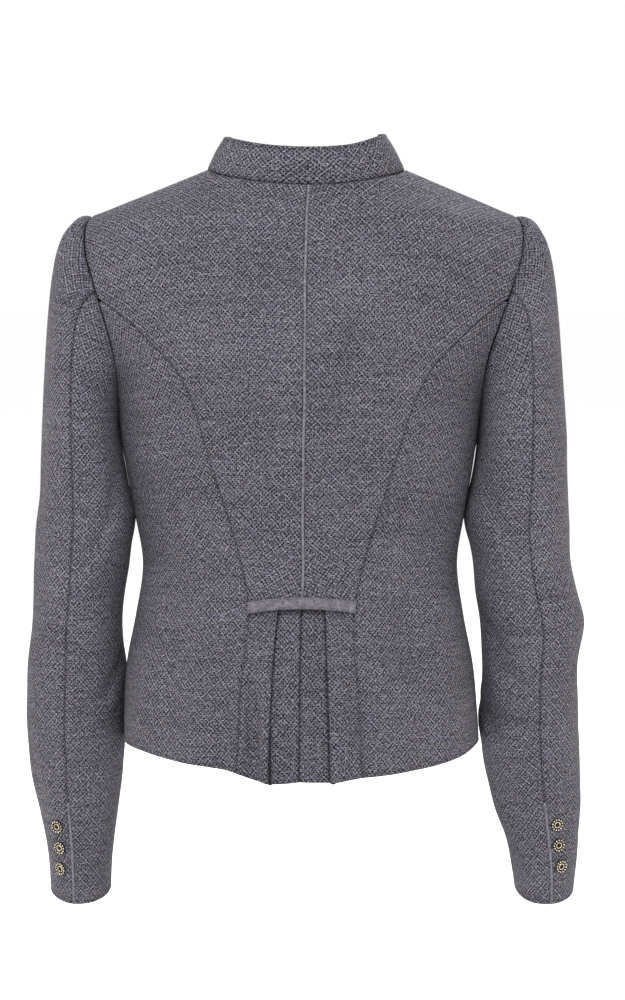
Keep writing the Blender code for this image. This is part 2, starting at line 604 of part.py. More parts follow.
def sleeve_piece(part, side, mat, col, root):
    turns = np.array(ARM_ANGLES[:-1] + tuple(360 - a for a in ARM_ANGLES[:0:-1]), float)
    a0, a1 = (FRONT_SEAM_ANGLE - 360, BACK_SEAM_ANGLE) if part == "top" else (BACK_SEAM_ANGLE, FRONT_SEAM_ANGLE)
    turns = np.sort(np.where(turns > a1 + 1e-6, turns - 360, turns) if part == "top" else turns)
    turns = turns[(turns > a0 + 1) & (turns < a1 - 1)]
    grid = []
    for w in sleeve_rows(side):
        step = np.linalg.norm(sleeve(side, w, np.array([a0 + 1, a1 + 1])) - sleeve(side, w, np.array([a0 - 1, a1 - 1])), axis=1) / 2
        g, e = SEAM * (3.0 if w < 0 else .6) / step, np.minimum(2.2 / step, 5)
        ang = np.concatenate([[a0 + g[0], a0 + g[0] + e[0]], turns, [a1 - g[1] - e[1], a1 - g[1]]])
        grid.append(sleeve(side, np.full(len(ang), w), ang))
    return cloth(f"sleeve_{part}_{'left' if side > 0 else 'right'}", np.array(grid), mat, col, root, flip=side > 0)


def collar_piece(mat, col, root):
    """The columns stand on the columns of the panels' neck edges."""
    k = shared_rows()[-1:]
    w = width(-1, k, np.array([.002]))[0]
    u = [0.0]
    for side in (1, -1):
        z = plain(1, side, k, np.full(1, .1))[:, 2]
        fold = part_at(1, side, k, lambda zz: 0 * zz + column(PLEAT, "x", z)[0] + column(PLEAT, "radius", z)[0])
        back = np.linspace(fold[0], NECK_PART, 5)
        front = np.linspace(27 / w, NECK_PART, 4)[:-1] if side > 0 else np.linspace(0, NECK_PART, 5)[:-1]
        u += [side * v / NECK_PART / 2 for v in (fold[0] / 2, *back)]
        u += [side * (1 - v / NECK_PART / 2) for v in (0.0, *front)]
    NECK_U[:] = sorted(set(u))
    u = np.array([v for v in NECK_U if abs(v) < .984] + [-.996, -.985, .985, .996])
    u = np.sort(u)
    h = np.array([0, .07, .36, .66, .93, 1])
    grid = np.array([collar(u, np.full(len(u), hh)) for hh in h])
    return cloth("collar", grid, mat, col, root, wall=COLLAR_WALL, flip=True)


def tab_point(x, z, lift):
    """Points on the back panels at x, z, moved out by lift."""
    out = np.empty((len(x), 3))
    for side, use in ((1, x >= 0), (-1, x < 0)):
        if use.any():
            k, s = place(1, side, np.abs(x[use]), z[use])
            out[use] = torso(1, side, k, s) + torso_normal(1, side, k, s) * lift
    return out


def back_tab(mat, col, root):
    x = spread(-TAB_HALF, TAB_HALF, 11, 1.5)
    grid = []
    for v in (-.5, 0, .5):
        grid.append(tab_point(x, TAB_Z + TAB_HIGH * v + TAB_ARCH * (.5 - (x / TAB_HALF) ** 2), .35))
    return cloth("back_tab", np.array(grid), mat, col, root, wall=1.8, outward=True, flip=True)


def back_piping(mat, col, root):
    k = shared_rows()
    k = np.concatenate([k[(k > tab_level() + 11.0) & (k < TOP_K - 4)], [TOP_K - 2.2]])
    w = width(1, k, np.full(len(k), .002))
    left = torso(1, 1, k, .9 / w) + torso_normal(1, 1, k, .9 / w) * .3
    right = torso(1, -1, k, .9 / w) + torso_normal(1, -1, k, .9 / w) * .3
    return cloth("back_piping", np.stack([left, right], 1), mat, col, root, wall=1.0, outward=True)


def cuff_piping(side, mat, col, root):
    end = SLEEVES[side]["k"][-1]
    w = sleeve_rows(side)
    w = np.concatenate([[end - 99.5], w[(w > end - 98) & (w < end - 1)], [end - .4]])
    step = np.linalg.norm(sleeve(side, w, BACK_SEAM_ANGLE + 1) - sleeve(side, w, BACK_SEAM_ANGLE - 1), axis=1) / 2
    cols = []
    for d in (-.9, .9):
        a = BACK_SEAM_ANGLE + d / step
        cols.append(sleeve(side, w, a) + sleeve_normal(side, w, a) * .3)
    return cloth(f"cuff_piping_{'left' if side > 0 else 'right'}", np.stack(cols, 1), mat, col, root, wall=1.0, outward=True, flip=side > 0)


def button(name, at, normal, radius, mat, col, root, lift=.25):
    """A turned button with a raised rim round a dished middle."""
    r = radius / 1000
    profile = [(0, .17), (.42, .17), (.56, .36), (.84, .38), (1, .22), (.96, .04), (0, .04)]
    mesh = bpy.data.meshes.new(name)
    mesh.from_pydata([(a * r, 0, b * r) for a, b in profile], [(i, i + 1) for i in range(len(profile) - 1)], [])
    obj = add(name, mesh, mat, col, root)
    turn = obj.modifiers.new("turn", "SCREW")
    turn.steps = turn.render_steps = 12
    turn.use_merge_vertices = True
    turn.merge_threshold = 1e-6
    z = Vector(normal).normalized()
    obj.rotation_euler = z.to_track_quat("Z", "Y").to_euler()
    obj.location = Vector(at) / 1000 + z * (lift / 1000)
    return obj


def main():
    clear()
    col = bpy.data.collections.new(NAME)
    bpy.context.scene.collection.children.link(col)
    root = bpy.data.objects.new("worn", None)
    col.objects.link(root)

    def wool(name, tone=1.0):
        return material("wool_" + name, tuple(c * tone for c in WOOL), .92)

    def felt(name):
        return material("felt_" + name, FELT, .95)

    for side in (1, -1):
        word = "left" if side > 0 else "right"
        back_panel(side, wool("back_" + word), col, root)
        pleat_inlay(side, wool("inlay_" + word, .92), col, root)
        side_panel(1, side, wool("back_side_" + word), col, root)
        side_panel(-1, side, wool("front_side_" + word), col, root)
        front_panel(side, wool("front_" + word), col, root)
        sleeve_piece("top", side, wool("sleeve_top_" + word, .95), col, root)
        sleeve_piece("under", side, wool("sleeve_under_" + word, .93), col, root)
        cuff_piping(side, felt("cuff_" + word), col, root)
        t = CUFF_BUTTONS[side]
        for i in range(3):
            w, a = SLEEVES[side]["k"][-1] - t["up"][i], t["angle"][i]
            button(f"cuff_button_{word}_{i + 1}", sleeve(side, w, a)[0], sleeve_normal(side, w, a)[0],
                   CUFF_RADIUS, material(f"metal_cuff_{word}_{i + 1}", METAL, .35, 1.0), col, root)
    collar_piece(wool("collar", 1.02), col, root)
    back_tab(felt("tab"), col, root)
    back_piping(felt("back"), col, root)
    for i in range(FRONT_BUTTONS):
        z = FRONT_TOP - FRONT_STEP * i
        k, s = place(-1, 1, 0.0, z)
        s = s * 0
        button(f"front_button_{i + 1}", torso(-1, 1, k, s)[0], torso_normal(-1, 1, k, s)[0],
               FRONT_RADIUS, material(f"metal_front_{i + 1}", METAL, .35, 1.0), col, root, .9)
    bpy.context.view_layer.update()


main()
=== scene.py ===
import math

import bmesh
import bpy
import numpy as np
from mathutils import Matrix, Vector


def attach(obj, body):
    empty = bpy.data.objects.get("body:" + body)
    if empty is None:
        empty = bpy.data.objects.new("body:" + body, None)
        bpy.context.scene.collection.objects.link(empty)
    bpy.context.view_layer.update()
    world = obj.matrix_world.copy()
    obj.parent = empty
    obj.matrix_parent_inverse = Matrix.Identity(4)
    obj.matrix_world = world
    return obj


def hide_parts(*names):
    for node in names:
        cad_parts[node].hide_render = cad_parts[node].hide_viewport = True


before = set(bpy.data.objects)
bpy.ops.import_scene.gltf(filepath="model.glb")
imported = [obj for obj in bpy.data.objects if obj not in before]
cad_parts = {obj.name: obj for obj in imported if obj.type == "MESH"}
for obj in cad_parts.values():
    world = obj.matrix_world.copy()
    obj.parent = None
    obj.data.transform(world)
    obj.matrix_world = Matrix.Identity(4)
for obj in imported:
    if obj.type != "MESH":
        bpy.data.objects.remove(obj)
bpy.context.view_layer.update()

# ---------------------------------------------------------------- sizes, mm
CLOTH = 2.0          # wall of the wool cloth
SEAM = 0.3           # gap between pieces at a seam
LAP = 16.0           # how far each front passes the centre front
SHOULDER_POINT = (88.5, 2.0, 3.4)    # where the shoulder seam meets the collar
SHOULDER_TIP = (189.0, 0.0, -37.6)   # where it meets the sleeve head
NECK_PART = 0.38     # part of the top edge that is neckline
COLLAR_HEIGHT = 33.0
COLLAR_WALL = 2.6
TAB_HALF, TAB_HIGH, TAB_ARCH, TAB_Z = 47.8, 10.4, 4.4, -380.0
BACK_SEAM_ANGLE, FRONT_SEAM_ANGLE = 82.0, 235.0   # seams round the sleeve, degrees


def table(columns, *rows):
    """A short table: one array for each named column."""
    return {n: np.array(c, float) for n, c in zip(columns.split(), zip(*rows))}


# One row for each level of a panel pair, hem to shoulder. k: distance up the
# cloth; zc, yc: height and depth on the centre line; xs, ys, zs: the side seam
# or armhole edge; hc, hs: length of the row's handles at the centre (part of
# xs) and at the edge; ang: direction of the row at the edge in plan, degrees;
# lift: how far the row arches up near the edge.
BACK = table(
    "k   zc    yc   xs     ys   zs      hc   hs  ang lift",
    (0, -530, 121, 160.0, -4, -509, .62, 78, 90, 0),
    (40, -490, 115, 158.8, -4, -476, .62, 74, 90, 0),
    (90, -440, 102, 155.5, -4, -436, .62, 66, 90, 0),
    (135, -395, 87, 147.5, -4, -395, .62, 56, 90, 0),
    (180, -350, 79, 141.3, -4, -350, .62, 51, 90, 0),
    (230, -300, 82, 147.8, -3, -305, .60, 53, 90, 0),
    (280, -250, 90, 155.5, -2, -262, .60, 57, 90, 0),
    (330, -200, 97, 162.0, -2, -213, .58, 60, 90, 0),
    (368, -165, 98, 165.0, 34, -172, .55, 44, 64, 3),
    (405, -128, 95, 173.0, 47, -139, .52, 44, 50, 5),
    (445, -90, 88, 185.5, 48, -100, .50, 44, 40, 8),
    (488, -48, 76, 195.5, 33, -64, .46, 42, 33, 12),
    (511, -27, 67, 195.5, 15, -45, .40, 42, 30, 14),
    (532, -9.5, 58, 189.0, 0, -37.6, .40, 40, 0, 0),
)
FRONT = table(
    "k   zc    yc   xs     ys   zs      hc   hs  ang lift",
    (0, -516, -117, 160.0, -4, -509, .60, 72, 90, 0),
    (40, -478, -113, 158.8, -4, -476, .60, 70, 90, 0),
    (90, -437, -107, 155.5, -4, -436, .60, 66, 90, 0),
    (135, -395, -101, 147.5, -4, -395, .60, 62, 90, 0),
    (180, -350, -98, 141.3, -4, -350, .60, 60, 90, 0),
    (230, -303, -106, 147.8, -3, -305, .62, 66, 90, 0),
    (280, -258, -119, 155.5, -2, -262, .64, 74, 90, 0),
    (330, -214, -123, 162.0, -2, -213, .64, 76, 90, 0),
    (368, -172, -114, 156.0, -36, -172, .60, 46, 60, 2),
    (405, -136, -102, 155.0, -47, -137, .55, 40, 46, 4),
    (445, -108, -91, 163.0, -46, -100, .50, 40, 38, 7),
    (488, -85, -81, 179.0, -29, -62, .44, 42, 32, 14),
    (511, -73, -75, 186.0, -13, -45, .40, 44, 30, 16),
    (532, -62, -70, 189.0, 0, -37.6, .40, 40, 0, 0),
)
# Curved seams down the panels: height and distance from the centre line.
BACK_PRINCESS = table(
    "z x", (-530, 55), (-461, 52), (-373, 48), (-330, 58), (-288, 70.5), (-240, 85.5),
    (-192, 102), (-172, 113), (-152, 132), (-143, 141), (-134, 150), (-125, 161), (-117, 171.5), (-111, 180.5), (-105, 190))
FRONT_PRINCESS = table(
    "z x", (-516, 84), (-460, 77), (-400, 67), (-350, 63), (-290, 73), (-240, 86),
    (-210, 93), (-180, 108), (-160, 120), (-145, 130), (-130, 141), (-118, 152), (-111, 158.3), (-104, 164))
# Edge of the centre back pleat: distance from the centre line down the fold.
PLEAT = table("z x radius", (-540, 26.5, 4.2), (-460, 24.5, 3.4), (-384, 20.5, 2.5))
# How the worn jacket stands: sideways sway and turn of the torso with height.
STANCE = table(
    "z sway turn", (-530, 1.5, .020), (-420, 4.0, -.010), (-350, 3.6, -.035), (-275, 4.2, -.045),
    (-200, 4.2, -.045), (-125, 3.0, -.045), (-60, 1.5, -.045), (-22, -.5, -.045), (0, -1.8, -.045), (40, -2.0, -.045))
# Largest folds of the peplum beside the pleat: place at the tab and at the
# hem, half width at the hem, and how far the cloth stands out there.
PEPLUM_FOLDS = table(
    "side top hem wide out", (1, 47, 40, 11, -6.5), (1, 30, 28, 9, 4.5),
    (-1, 46, 52, 12, -4.5), (-1, 30, 34, 10, 3.0), (-1, 70, 82, 14, 2.5), (1, 90, 100, 16, 3.0))
# How far the back hem lies above its smooth line, by distance from the centre.
HEM_LIFT = {
    1: table("x lift", (0, -1.7), (37, -2.2), (50, 1.8), (62, 5.0), (80, 5.8), (100, 5.2), (125, 4.3), (145, 3.0), (160, 0)),
    -1: table("x lift", (0, -1.7), (30, -2.4), (60, -.8), (100, -1.3), (130, -2.4), (148, -2.2), (160, 0)),
}
# Sleeve tubes below the armhole, one row a ring. k: distance down the sleeve;
# z: height of its middle; inner, outer: distance of its two sides from the
# middle plane; y: depth of its middle; deep: half its depth; tilt: degrees.
SLEEVES = {
    1: table(
        "k   z     inner  outer  y    deep tilt",
        (0, -235, 166.6, 235.8, -8, 60, 0), (39, -274, 161.0, 238.2, -7, 57, 0), (75, -310, 155.0, 241.0, -6, 54, 0),
        (111, -346, 157.7, 243.3, -6, 52, 1), (138, -373, 161.2, 243.7, -7, 51, 3), (165, -400, 163.4, 245.8, -10, 51, 6),
        (206, -440, 162.6, 250.1, -17, 50, 10), (261, -494, 164.0, 251.8, -28, 49, 11.5), (316, -548, 166.3, 247.4, -39, 48, 11.5),
        (344, -575, 169.4, 242.4, -44, 47.5, 11.5), (372, -602, 173.4, 236.7, -49.5, 47, 11.5), (423, -651.5, 178.2, 232.2, -59, 47, 11.5)),
    -1: table(
        "k   z     inner  outer  y    deep tilt",
        (0, -235, 158.2, 236.5, -8, 60, 0), (39, -274, 152.4, 238.5, -7, 57, 0), (75, -310, 146.4, 239.4, -6, 54, 0),
        (111, -346, 151.4, 239.9, -6, 52, 1), (138, -373, 154.2, 246.4, -7, 51, 3), (165, -400, 158.9, 253.0, -10, 51, 6),
        (206, -440, 161.3, 248.4, -17, 50, 10), (261, -494, 160.8, 250.2, -28, 49, 11.5), (316, -548, 167.0, 252.1, -39, 48, 11.5),
        (344, -575, 174.2, 252.6, -44, 47.5, 11.5), (372, -602, 184.2, 251.2, -49.5, 47, 11.5), (423, -651.5, 194.0, 247.6, -59, 47, 11.5)),
}
# How the sleeve head leaves the armhole, by angle round the sleeve (0 outside,
# 90 back, 180 under the arm): direction, and length of the curve's handles.
HEAD = table(
    "angle x    y     z    start end",
    (0, 1.0, 0.0, .34, 34, 112), (45, .92, .30, .10, 32, 100), (90, .78, .42, -.50, 27, 62),
    (135, .42, .30, -.90, 14, 30), (180, .06, 0.0, -1.0, 6, 8), (225, .42, -.20, -.90, 14, 28),
    (270, .78, -.40, -.50, 27, 58), (315, .92, -.30, .10, 32, 96), (360, 1.0, 0.0, .34, 34, 112))
# Angles round the sleeve where the panels have a row at the armhole.
ARM_ANGLES = tuple(float(a) for a in np.arange(0, 181, 2.0))   # fine steps round the armhole
PRINCESS_ANGLE = 90   # where the princess seams meet the armhole
TOP_K = BACK["k"][-1]
ARM_K = BACK["k"][7]


# ------------------------------------------------------------- smooth curves
def slopes(k, p):
    """Slopes of the smooth curve through the values p at the distances k."""
    k = k.reshape((-1,) + (1,) * (p.ndim - 1))
    h = k[1:] - k[:-1]
    d = (p[1:] - p[:-1]) / h
    m = np.empty_like(p)
    m[1:-1] = (d[:-1] * h[1:] + d[1:] * h[:-1]) / (h[1:] + h[:-1])
    m[0] = 1.5 * d[0] - 0.5 * m[1]
    m[-1] = 1.5 * d[-1] - 0.5 * m[-2]
    return m


def cubic(k, p, m, at):
    """Value at the distances `at` of the curve with the points p and slopes m."""
    i = np.clip(np.searchsorted(k, at, "right") - 1, 0, len(k) - 2)
    pick = (i,) if p.ndim == 1 else (i, np.arange(len(at)))
    nxt = (i + 1,) if p.ndim == 1 else (i + 1, np.arange(len(at)))
    h = k[i + 1] - k[i]
    t = (at - k[i]) / h
    if p.ndim > 1:
        h, t = h[:, None], t[:, None]
    return ((2 * t**3 - 3 * t**2 + 1) * p[pick] + (t**3 - 2 * t**2 + t) * h * m[pick]
            + (3 * t**2 - 2 * t**3) * p[nxt] + (t**3 - t**2) * h * m[nxt])


def column(tab, name, at, key="z"):
    at = np.atleast_1d(np.asarray(at, float))
    k = tab[key]
    order = np.argsort(k)
    k, p = k[order], tab[name][order]
    return cubic(k, p, slopes(k, p), np.clip(at, k[0], k[-1]))


def smooth(x):
    x = np.clip(x, 0, 1)
    return x * x * (3 - 2 * x)


def unit(v):
    return v / np.maximum(np.linalg.norm(v, axis=-1, keepdims=True), 1e-9)


# ------------------------------------------------------------ torso surface
def face_rows(face, s):
    """Points of every row of the back (1) or front (-1), at the parts s of its
    width from the centre line to the side: rows x points x 3."""
    t = BACK if face > 0 else FRONT
    col = {n: c[:, None] for n, c in t.items()}
    s = s[None, :]
    b0, b1, b2, b3 = (1 - s) ** 3, 3 * s * (1 - s) ** 2, 3 * s * s * (1 - s), s**3
    a = np.radians(col["ang"])
    x = b1 * col["hc"] * col["xs"] + b2 * (col["xs"] - col["hs"] * np.cos(a)) + b3 * col["xs"]
    y = (b0 + b1) * col["yc"] + b2 * (col["ys"] + face * col["hs"] * np.sin(a)) + b3 * col["ys"]
    z = b0 * col["zc"] + b1 * (col["zc"] + col["lift"] * .5) + b2 * (col["zs"] + col["lift"]) + b3 * col["zs"]
    p = np.stack([x, y, z], -1)
    # the top row is the neckline, then the shoulder seam
    s = s[0]
    neck, tip = np.array(SHOULDER_POINT), np.array(SHOULDER_TIP)
    q = np.clip(s / NECK_PART, 0, 1) * math.pi / 2
    yc, zc = t["yc"][-1], t["zc"][-1]
    rise = np.sin(q) ** 2 if face > 0 else np.sin(q) ** 1.6
    curve = np.stack([neck[0] * np.sin(q), neck[1] + (yc - neck[1]) * np.cos(q), zc + (neck[2] - zc) * rise], -1)
    f = np.clip((s - NECK_PART) / (1 - NECK_PART), 0, 1)[:, None]
    p[-1] = np.where(s[:, None] <= NECK_PART, curve, neck + (tip - neck) * f)
    return p


def peplum(side, x, z):
    """How far the largest folds of the peplum stand out."""
    t = PEPLUM_FOLDS
    down = smooth((-385 - z) / 145)
    total = 0 * x
    for i in range(len(t["side"])):
        if t["side"][i] == side:
            mid = t["top"][i] + (t["hem"][i] - t["top"][i]) * down
            total = total + t["out"][i] * down * np.exp(-(((x - mid) / (t["wide"][i] * (.6 + .4 * down))) ** 2))
    return total


def stance(p):
    z = p[:, 2]
    out = p.copy()
    out[:, 0] += column(STANCE, "sway", z) + column(STANCE, "turn", z) * p[:, 1]
    return out


def plain(face, side, k, s):
    """Torso point before the stance: k up the cloth, s across it."""
    k, s = np.broadcast_arrays(np.asarray(k, float), np.asarray(s, float))
    k, s = np.atleast_1d(k).ravel(), np.atleast_1d(s).ravel()
    t = BACK if face > 0 else FRONT
    p = face_rows(face, s)
    m = slopes(t["k"], p)
    # over the shoulder, the back runs on into the front
    other = face_rows(-face, s)[-2]
    over = (other - p[-2]) / (TOP_K - t["k"][-2]) / 2
    w = smooth((s - NECK_PART + .14) / .14)[:, None]
    m[-1] = m[-1] * (1 - w) + over * w
    q = cubic(t["k"], p, m, k)
    if face > 0:
        q[:, 1] += peplum(side, q[:, 0], q[:, 2])
        q[:, 2] += column(HEM_LIFT[side], "lift", q[:, 0], "x") * smooth((130 - k) / 130)
    else:
        q[:, 1] -= 10 * np.exp(-((q[:, 0] - 84) / 46) ** 2 - ((q[:, 2] + 238) / 52) ** 2)
    return q


def torso(face, side, k, s):
    p = plain(face, side, k, s)
    p[:, 0] *= side
    return stance(p)


def torso_normal(face, side, k, s):
    k, s = np.broadcast_arrays(np.asarray(k, float), np.asarray(s, float))
    k, s = np.atleast_1d(k).ravel(), np.atleast_1d(s).ravel()
    a, b = np.clip(s - .004, 0, 1), np.clip(s + .004, 0, 1)
    c, d = np.clip(k - 1, 0, TOP_K), np.clip(k + 1, 0, TOP_K)
    across = torso(face, side, k, b) - torso(face, side, k, a)
    up = torso(face, side, d, s) - torso(face, side, c, s)
    return unit(-np.cross(across, up) * side * face)


def width(face, k, s):
    """Millimetres of cloth for each unit of s."""
    k, s = np.broadcast_arrays(np.atleast_1d(np.asarray(k, float)), np.atleast_1d(np.asarray(s, float)))
    a, b = np.clip(s - .01, 0, 1), np.clip(s + .01, 0, 1)
    return np.linalg.norm(plain(face, 1, k, b) - plain(face, 1, k, a), axis=1) / (b - a)


def part_at(face, side, k, line):
    """The part s of the width, at each k, where the panel crosses the line
    x = line(z); 1 where it is beyond the edge."""
    s = np.linspace(0, 1, 161)
    out = []
    for kk in np.atleast_1d(k):
        p = plain(face, side, np.full(s.shape, kk), s)
        gap = p[:, 0] - line(p[:, 2])
        i = int(np.argmax(gap > 0)) if (gap > 0).any() else 0
        out.append(1.0 if i == 0 else s[i - 1] + (s[i] - s[i - 1]) * -gap[i - 1] / (gap[i] - gap[i - 1]))
    return np.array(out)


def place(face, side, x, z):
    """k and s of the torso point at the distance x from the centre line and
    the height z, before the stance."""
    x, z = np.broadcast_arrays(np.atleast_1d(np.asarray(x, float)), np.atleast_1d(np.asarray(z, float)))
    t = BACK if face > 0 else FRONT
    k = np.interp(z, t["zc"], t["k"])
    s = np.clip(x / 175, 0.001, .98)
    for _ in range(12):
        p = plain(face, side, k, s)
        ps = (plain(face, side, k, np.clip(s + .003, 0, 1)) - p) / .003
        pk = (plain(face, side, np.clip(k + .5, 0, TOP_K), s) - p) / .5
        ex, ez = x - p[:, 0], z - p[:, 2]
        det = ps[:, 0] * pk[:, 2] - ps[:, 2] * pk[:, 0]
        det = np.where(np.abs(det) < 1e-6, 1e-6, det)
        s = np.clip(s + (ex * pk[:, 2] - ez * pk[:, 0]) / det, 0, 1)
        k = np.clip(k + (ps[:, 0] * ez - ps[:, 2] * ex) / det, 0, TOP_K)
    return k, s


# ----------------------------------------------------------- sleeve surface
def ring(side, k, angle):
    """Point of the sleeve tube at the distance k down it and the angle round it."""
    t = SLEEVES[side]
    k, angle = np.broadcast_arrays(np.atleast_1d(np.asarray(k, float)), np.atleast_1d(np.asarray(angle, float)))
    v = {n: column(t, n, k, "k") for n in ("z", "inner", "outer", "y", "deep", "tilt")}
    a, c, d = np.radians(angle), (v["inner"] + v["outer"]) / 2, (v["outer"] - v["inner"]) / 2
    cx, sy = np.cos(a), np.sin(a)
    n = 2 / 2.15
    x = c + d * np.sign(cx) * np.abs(cx) ** n
    y = v["deep"] * np.sign(sy) * np.abs(sy) ** n
    tilt = np.radians(v["tilt"])
    return np.stack([side * x, v["y"] + y * np.cos(tilt), v["z"] - y * np.sin(tilt)], -1)


def arm_level(angle):
    """k of the armhole edge at an angle round the sleeve, 0 at the shoulder."""
    return TOP_K + (ARM_K - TOP_K) * np.asarray(angle, float) / 180


ARM_EDGE = {}


def armhole(side, angle):
    """The armhole edge at the angle round the sleeve, moved out by the seam
    gap. It runs straight between the panel rows, as the panels' edges do."""
    if side not in ARM_EDGE:
        half = np.array(ARM_ANGLES, float)
        edge = []
        for face, turn in ((1, half), (-1, half[-2::-1])):
            k = arm_level(turn)
            e = torso(face, side, k, np.ones(len(k)))
            n = torso_normal(face, side, k, np.ones(len(k)))
            past = unit(e - torso(face, side, k, np.full(len(k), .98)))
            edge.append(e - n * .9 + past * .1)
        edge[1][-1] = edge[0][0]
        ARM_EDGE[side] = (np.concatenate([half, 360 - half[-2::-1]]), np.concatenate(edge))
    at, edge = ARM_EDGE[side]
    angle = np.atleast_1d(np.asarray(angle, float)) % 360
    return np.stack([np.interp(angle, at, edge[:, i]) for i in range(3)], -1)


def sleeve(side, w, angle):
    """Sleeve surface. w from -1 to 0 is the sleeve head, from the armhole to
    the top of the tube; from 0 on it is the distance down the tube in mm."""
    w, angle = np.broadcast_arrays(np.atleast_1d(np.asarray(w, float)), np.atleast_1d(np.asarray(angle, float)))
    out = ring(side, np.maximum(w, 0), angle)
    use = w < 0
    if use.any():
        a = angle[use]
        t = (w[use] + 1)[:, None]
        h = {n: column(HEAD, n, a % 360, "angle") for n in ("x", "y", "z", "start", "end")}
        p0, p3 = armhole(side, a), ring(side, np.zeros(len(a)), a)
        go = unit(np.stack([side * h["x"], h["y"], h["z"]], -1))
        p1 = p0 + go * h["start"][:, None]
        lean = (.035 if side > 0 else .065) * np.maximum(np.cos(np.radians(a)), 0)
        p2 = p3 + np.stack([-side * lean, 0 * a, 1 + 0 * a], -1) * h["end"][:, None]
        out[use] = (1 - t) ** 3 * p0 + 3 * t * (1 - t) ** 2 * p1 + 3 * t * t * (1 - t) * p2 + t**3 * p3
    return out


def sleeve_normal(side, w, angle):
    w, angle = np.broadcast_arrays(np.atleast_1d(np.asarray(w, float)), np.atleast_1d(np.asarray(angle, float)))
    step = np.where(w < 0, .01, 1.0)
    end = SLEEVES[side]["k"][-1]
    a = np.where(w < 0, np.maximum(w - step, -1), np.maximum(w - step, 0))
    b = np.where(w < 0, np.minimum(w + step, -1e-6), np.minimum(w + step, end))
    down = unit(sleeve(side, b, angle) - sleeve(side, a, angle))
    around = unit(sleeve(side, w, angle + 1) - sleeve(side, w, angle - 1))
    return unit(np.cross(down, around) * side)


# ------------------------------------------------------------ collar surface
def neck_edge(u):
    """The neck edge: u from 0 at the centre back to 1 at the centre front on
    the left, and to -1 on the right."""
    u = np.atleast_1d(np.asarray(u, float))
    out = np.empty((len(u), 3))
    for side in (1, -1):
        for face in (1, -1):
            a = np.abs(u)
            use = ((u >= 0) if side > 0 else (u < 0)) & ((a <= .5) if face > 0 else (a > .5))
            if use.any():
                s = NECK_PART * (a[use] / .5 if face > 0 else (1 - a[use]) / .5)
                out[use] = torso(face, side, np.full(use.sum(), TOP_K), s)
    return out


NECK_U = []


def neckline(u):
    """The neck edge as the panels have it, straight between their columns."""
    if not len(NECK_U):
        return neck_edge(u)
    edge = neck_edge(np.array(NECK_U))
    return np.stack([np.interp(u, NECK_U, edge[:, i]) for i in range(3)], -1)


def collar(u, h):
    """Collar surface: h from 0 at the neck seam to 1 at the top edge."""
    u, h = np.broadcast_arrays(np.atleast_1d(np.asarray(u, float)), np.atleast_1d(np.asarray(h, float)))
    base = neckline(u)
    a = np.abs(u) * math.pi
    lean_x = np.where(u < 0, 18.0, 15.5) * np.sin(a) ** 2 * np.sign(u) + 5 * np.sign(u) * np.sin(a) * (np.abs(u) > .5)
    lean_y = np.where(np.abs(u) < .5, 6.5 * np.cos(a), 9 * np.cos(a))
    high = COLLAR_HEIGHT - 2.5 * np.sin(a) ** 2 - 3.0 * smooth((np.abs(u) - .55) / .45)
    high = high + 2.2 * smooth((-u - .12) / .2) * smooth((.75 + u) / .2)
    bow = 1.6 * np.sin(math.pi * h)
    top = base + np.stack([-lean_x, -lean_y, high], -1)
    rise = np.where(np.abs(u) > .5, 0, 0)
    p = base + (top - base) * h[:, None]
    out = unit(np.stack([np.sin(a) * np.sign(u), np.cos(a), 0 * a], -1))
    p = p + out * bow[:, None]
    p[:, 2] += .45 + rise
    p[:, :2] -= out[:, :2] * .1
    return p


# ------------------------------------------------------------ camera geometry
# The photograph's view: 3.4 m behind the jacket, 3.4 degrees above it, 0.9 mm
# a pixel in the plane of the shoulders.
FAR, DOWN, PIXEL = 3400.0, math.radians(3.4), 0.9
AIM = np.array([-7.7, 0.0, -291.6])
EYE = AIM + FAR * np.array([0, math.cos(DOWN), math.sin(DOWN)])
LOOK = (AIM - EYE) / FAR
RIGHT = np.array([-1.0, 0, 0])
UP = np.cross(RIGHT, LOOK)


def seen(px, py, y):
    """x and z, in mm, of a place in the photograph on the plane at the depth y."""
    way = LOOK + RIGHT * ((px - 312.5) * PIXEL / FAR) + UP * ((500 - py) * PIXEL / FAR)
    p = EYE + way * (y - EYE[1]) / way[1]
    return p[0], p[2]


# ------------------------------------------------------------------ materials
GRAIN = "grain"                      # UV map: millimetres along the cloth / 1000
DIAMOND_WIDE, DIAMOND_HIGH = 10.2, 11.3


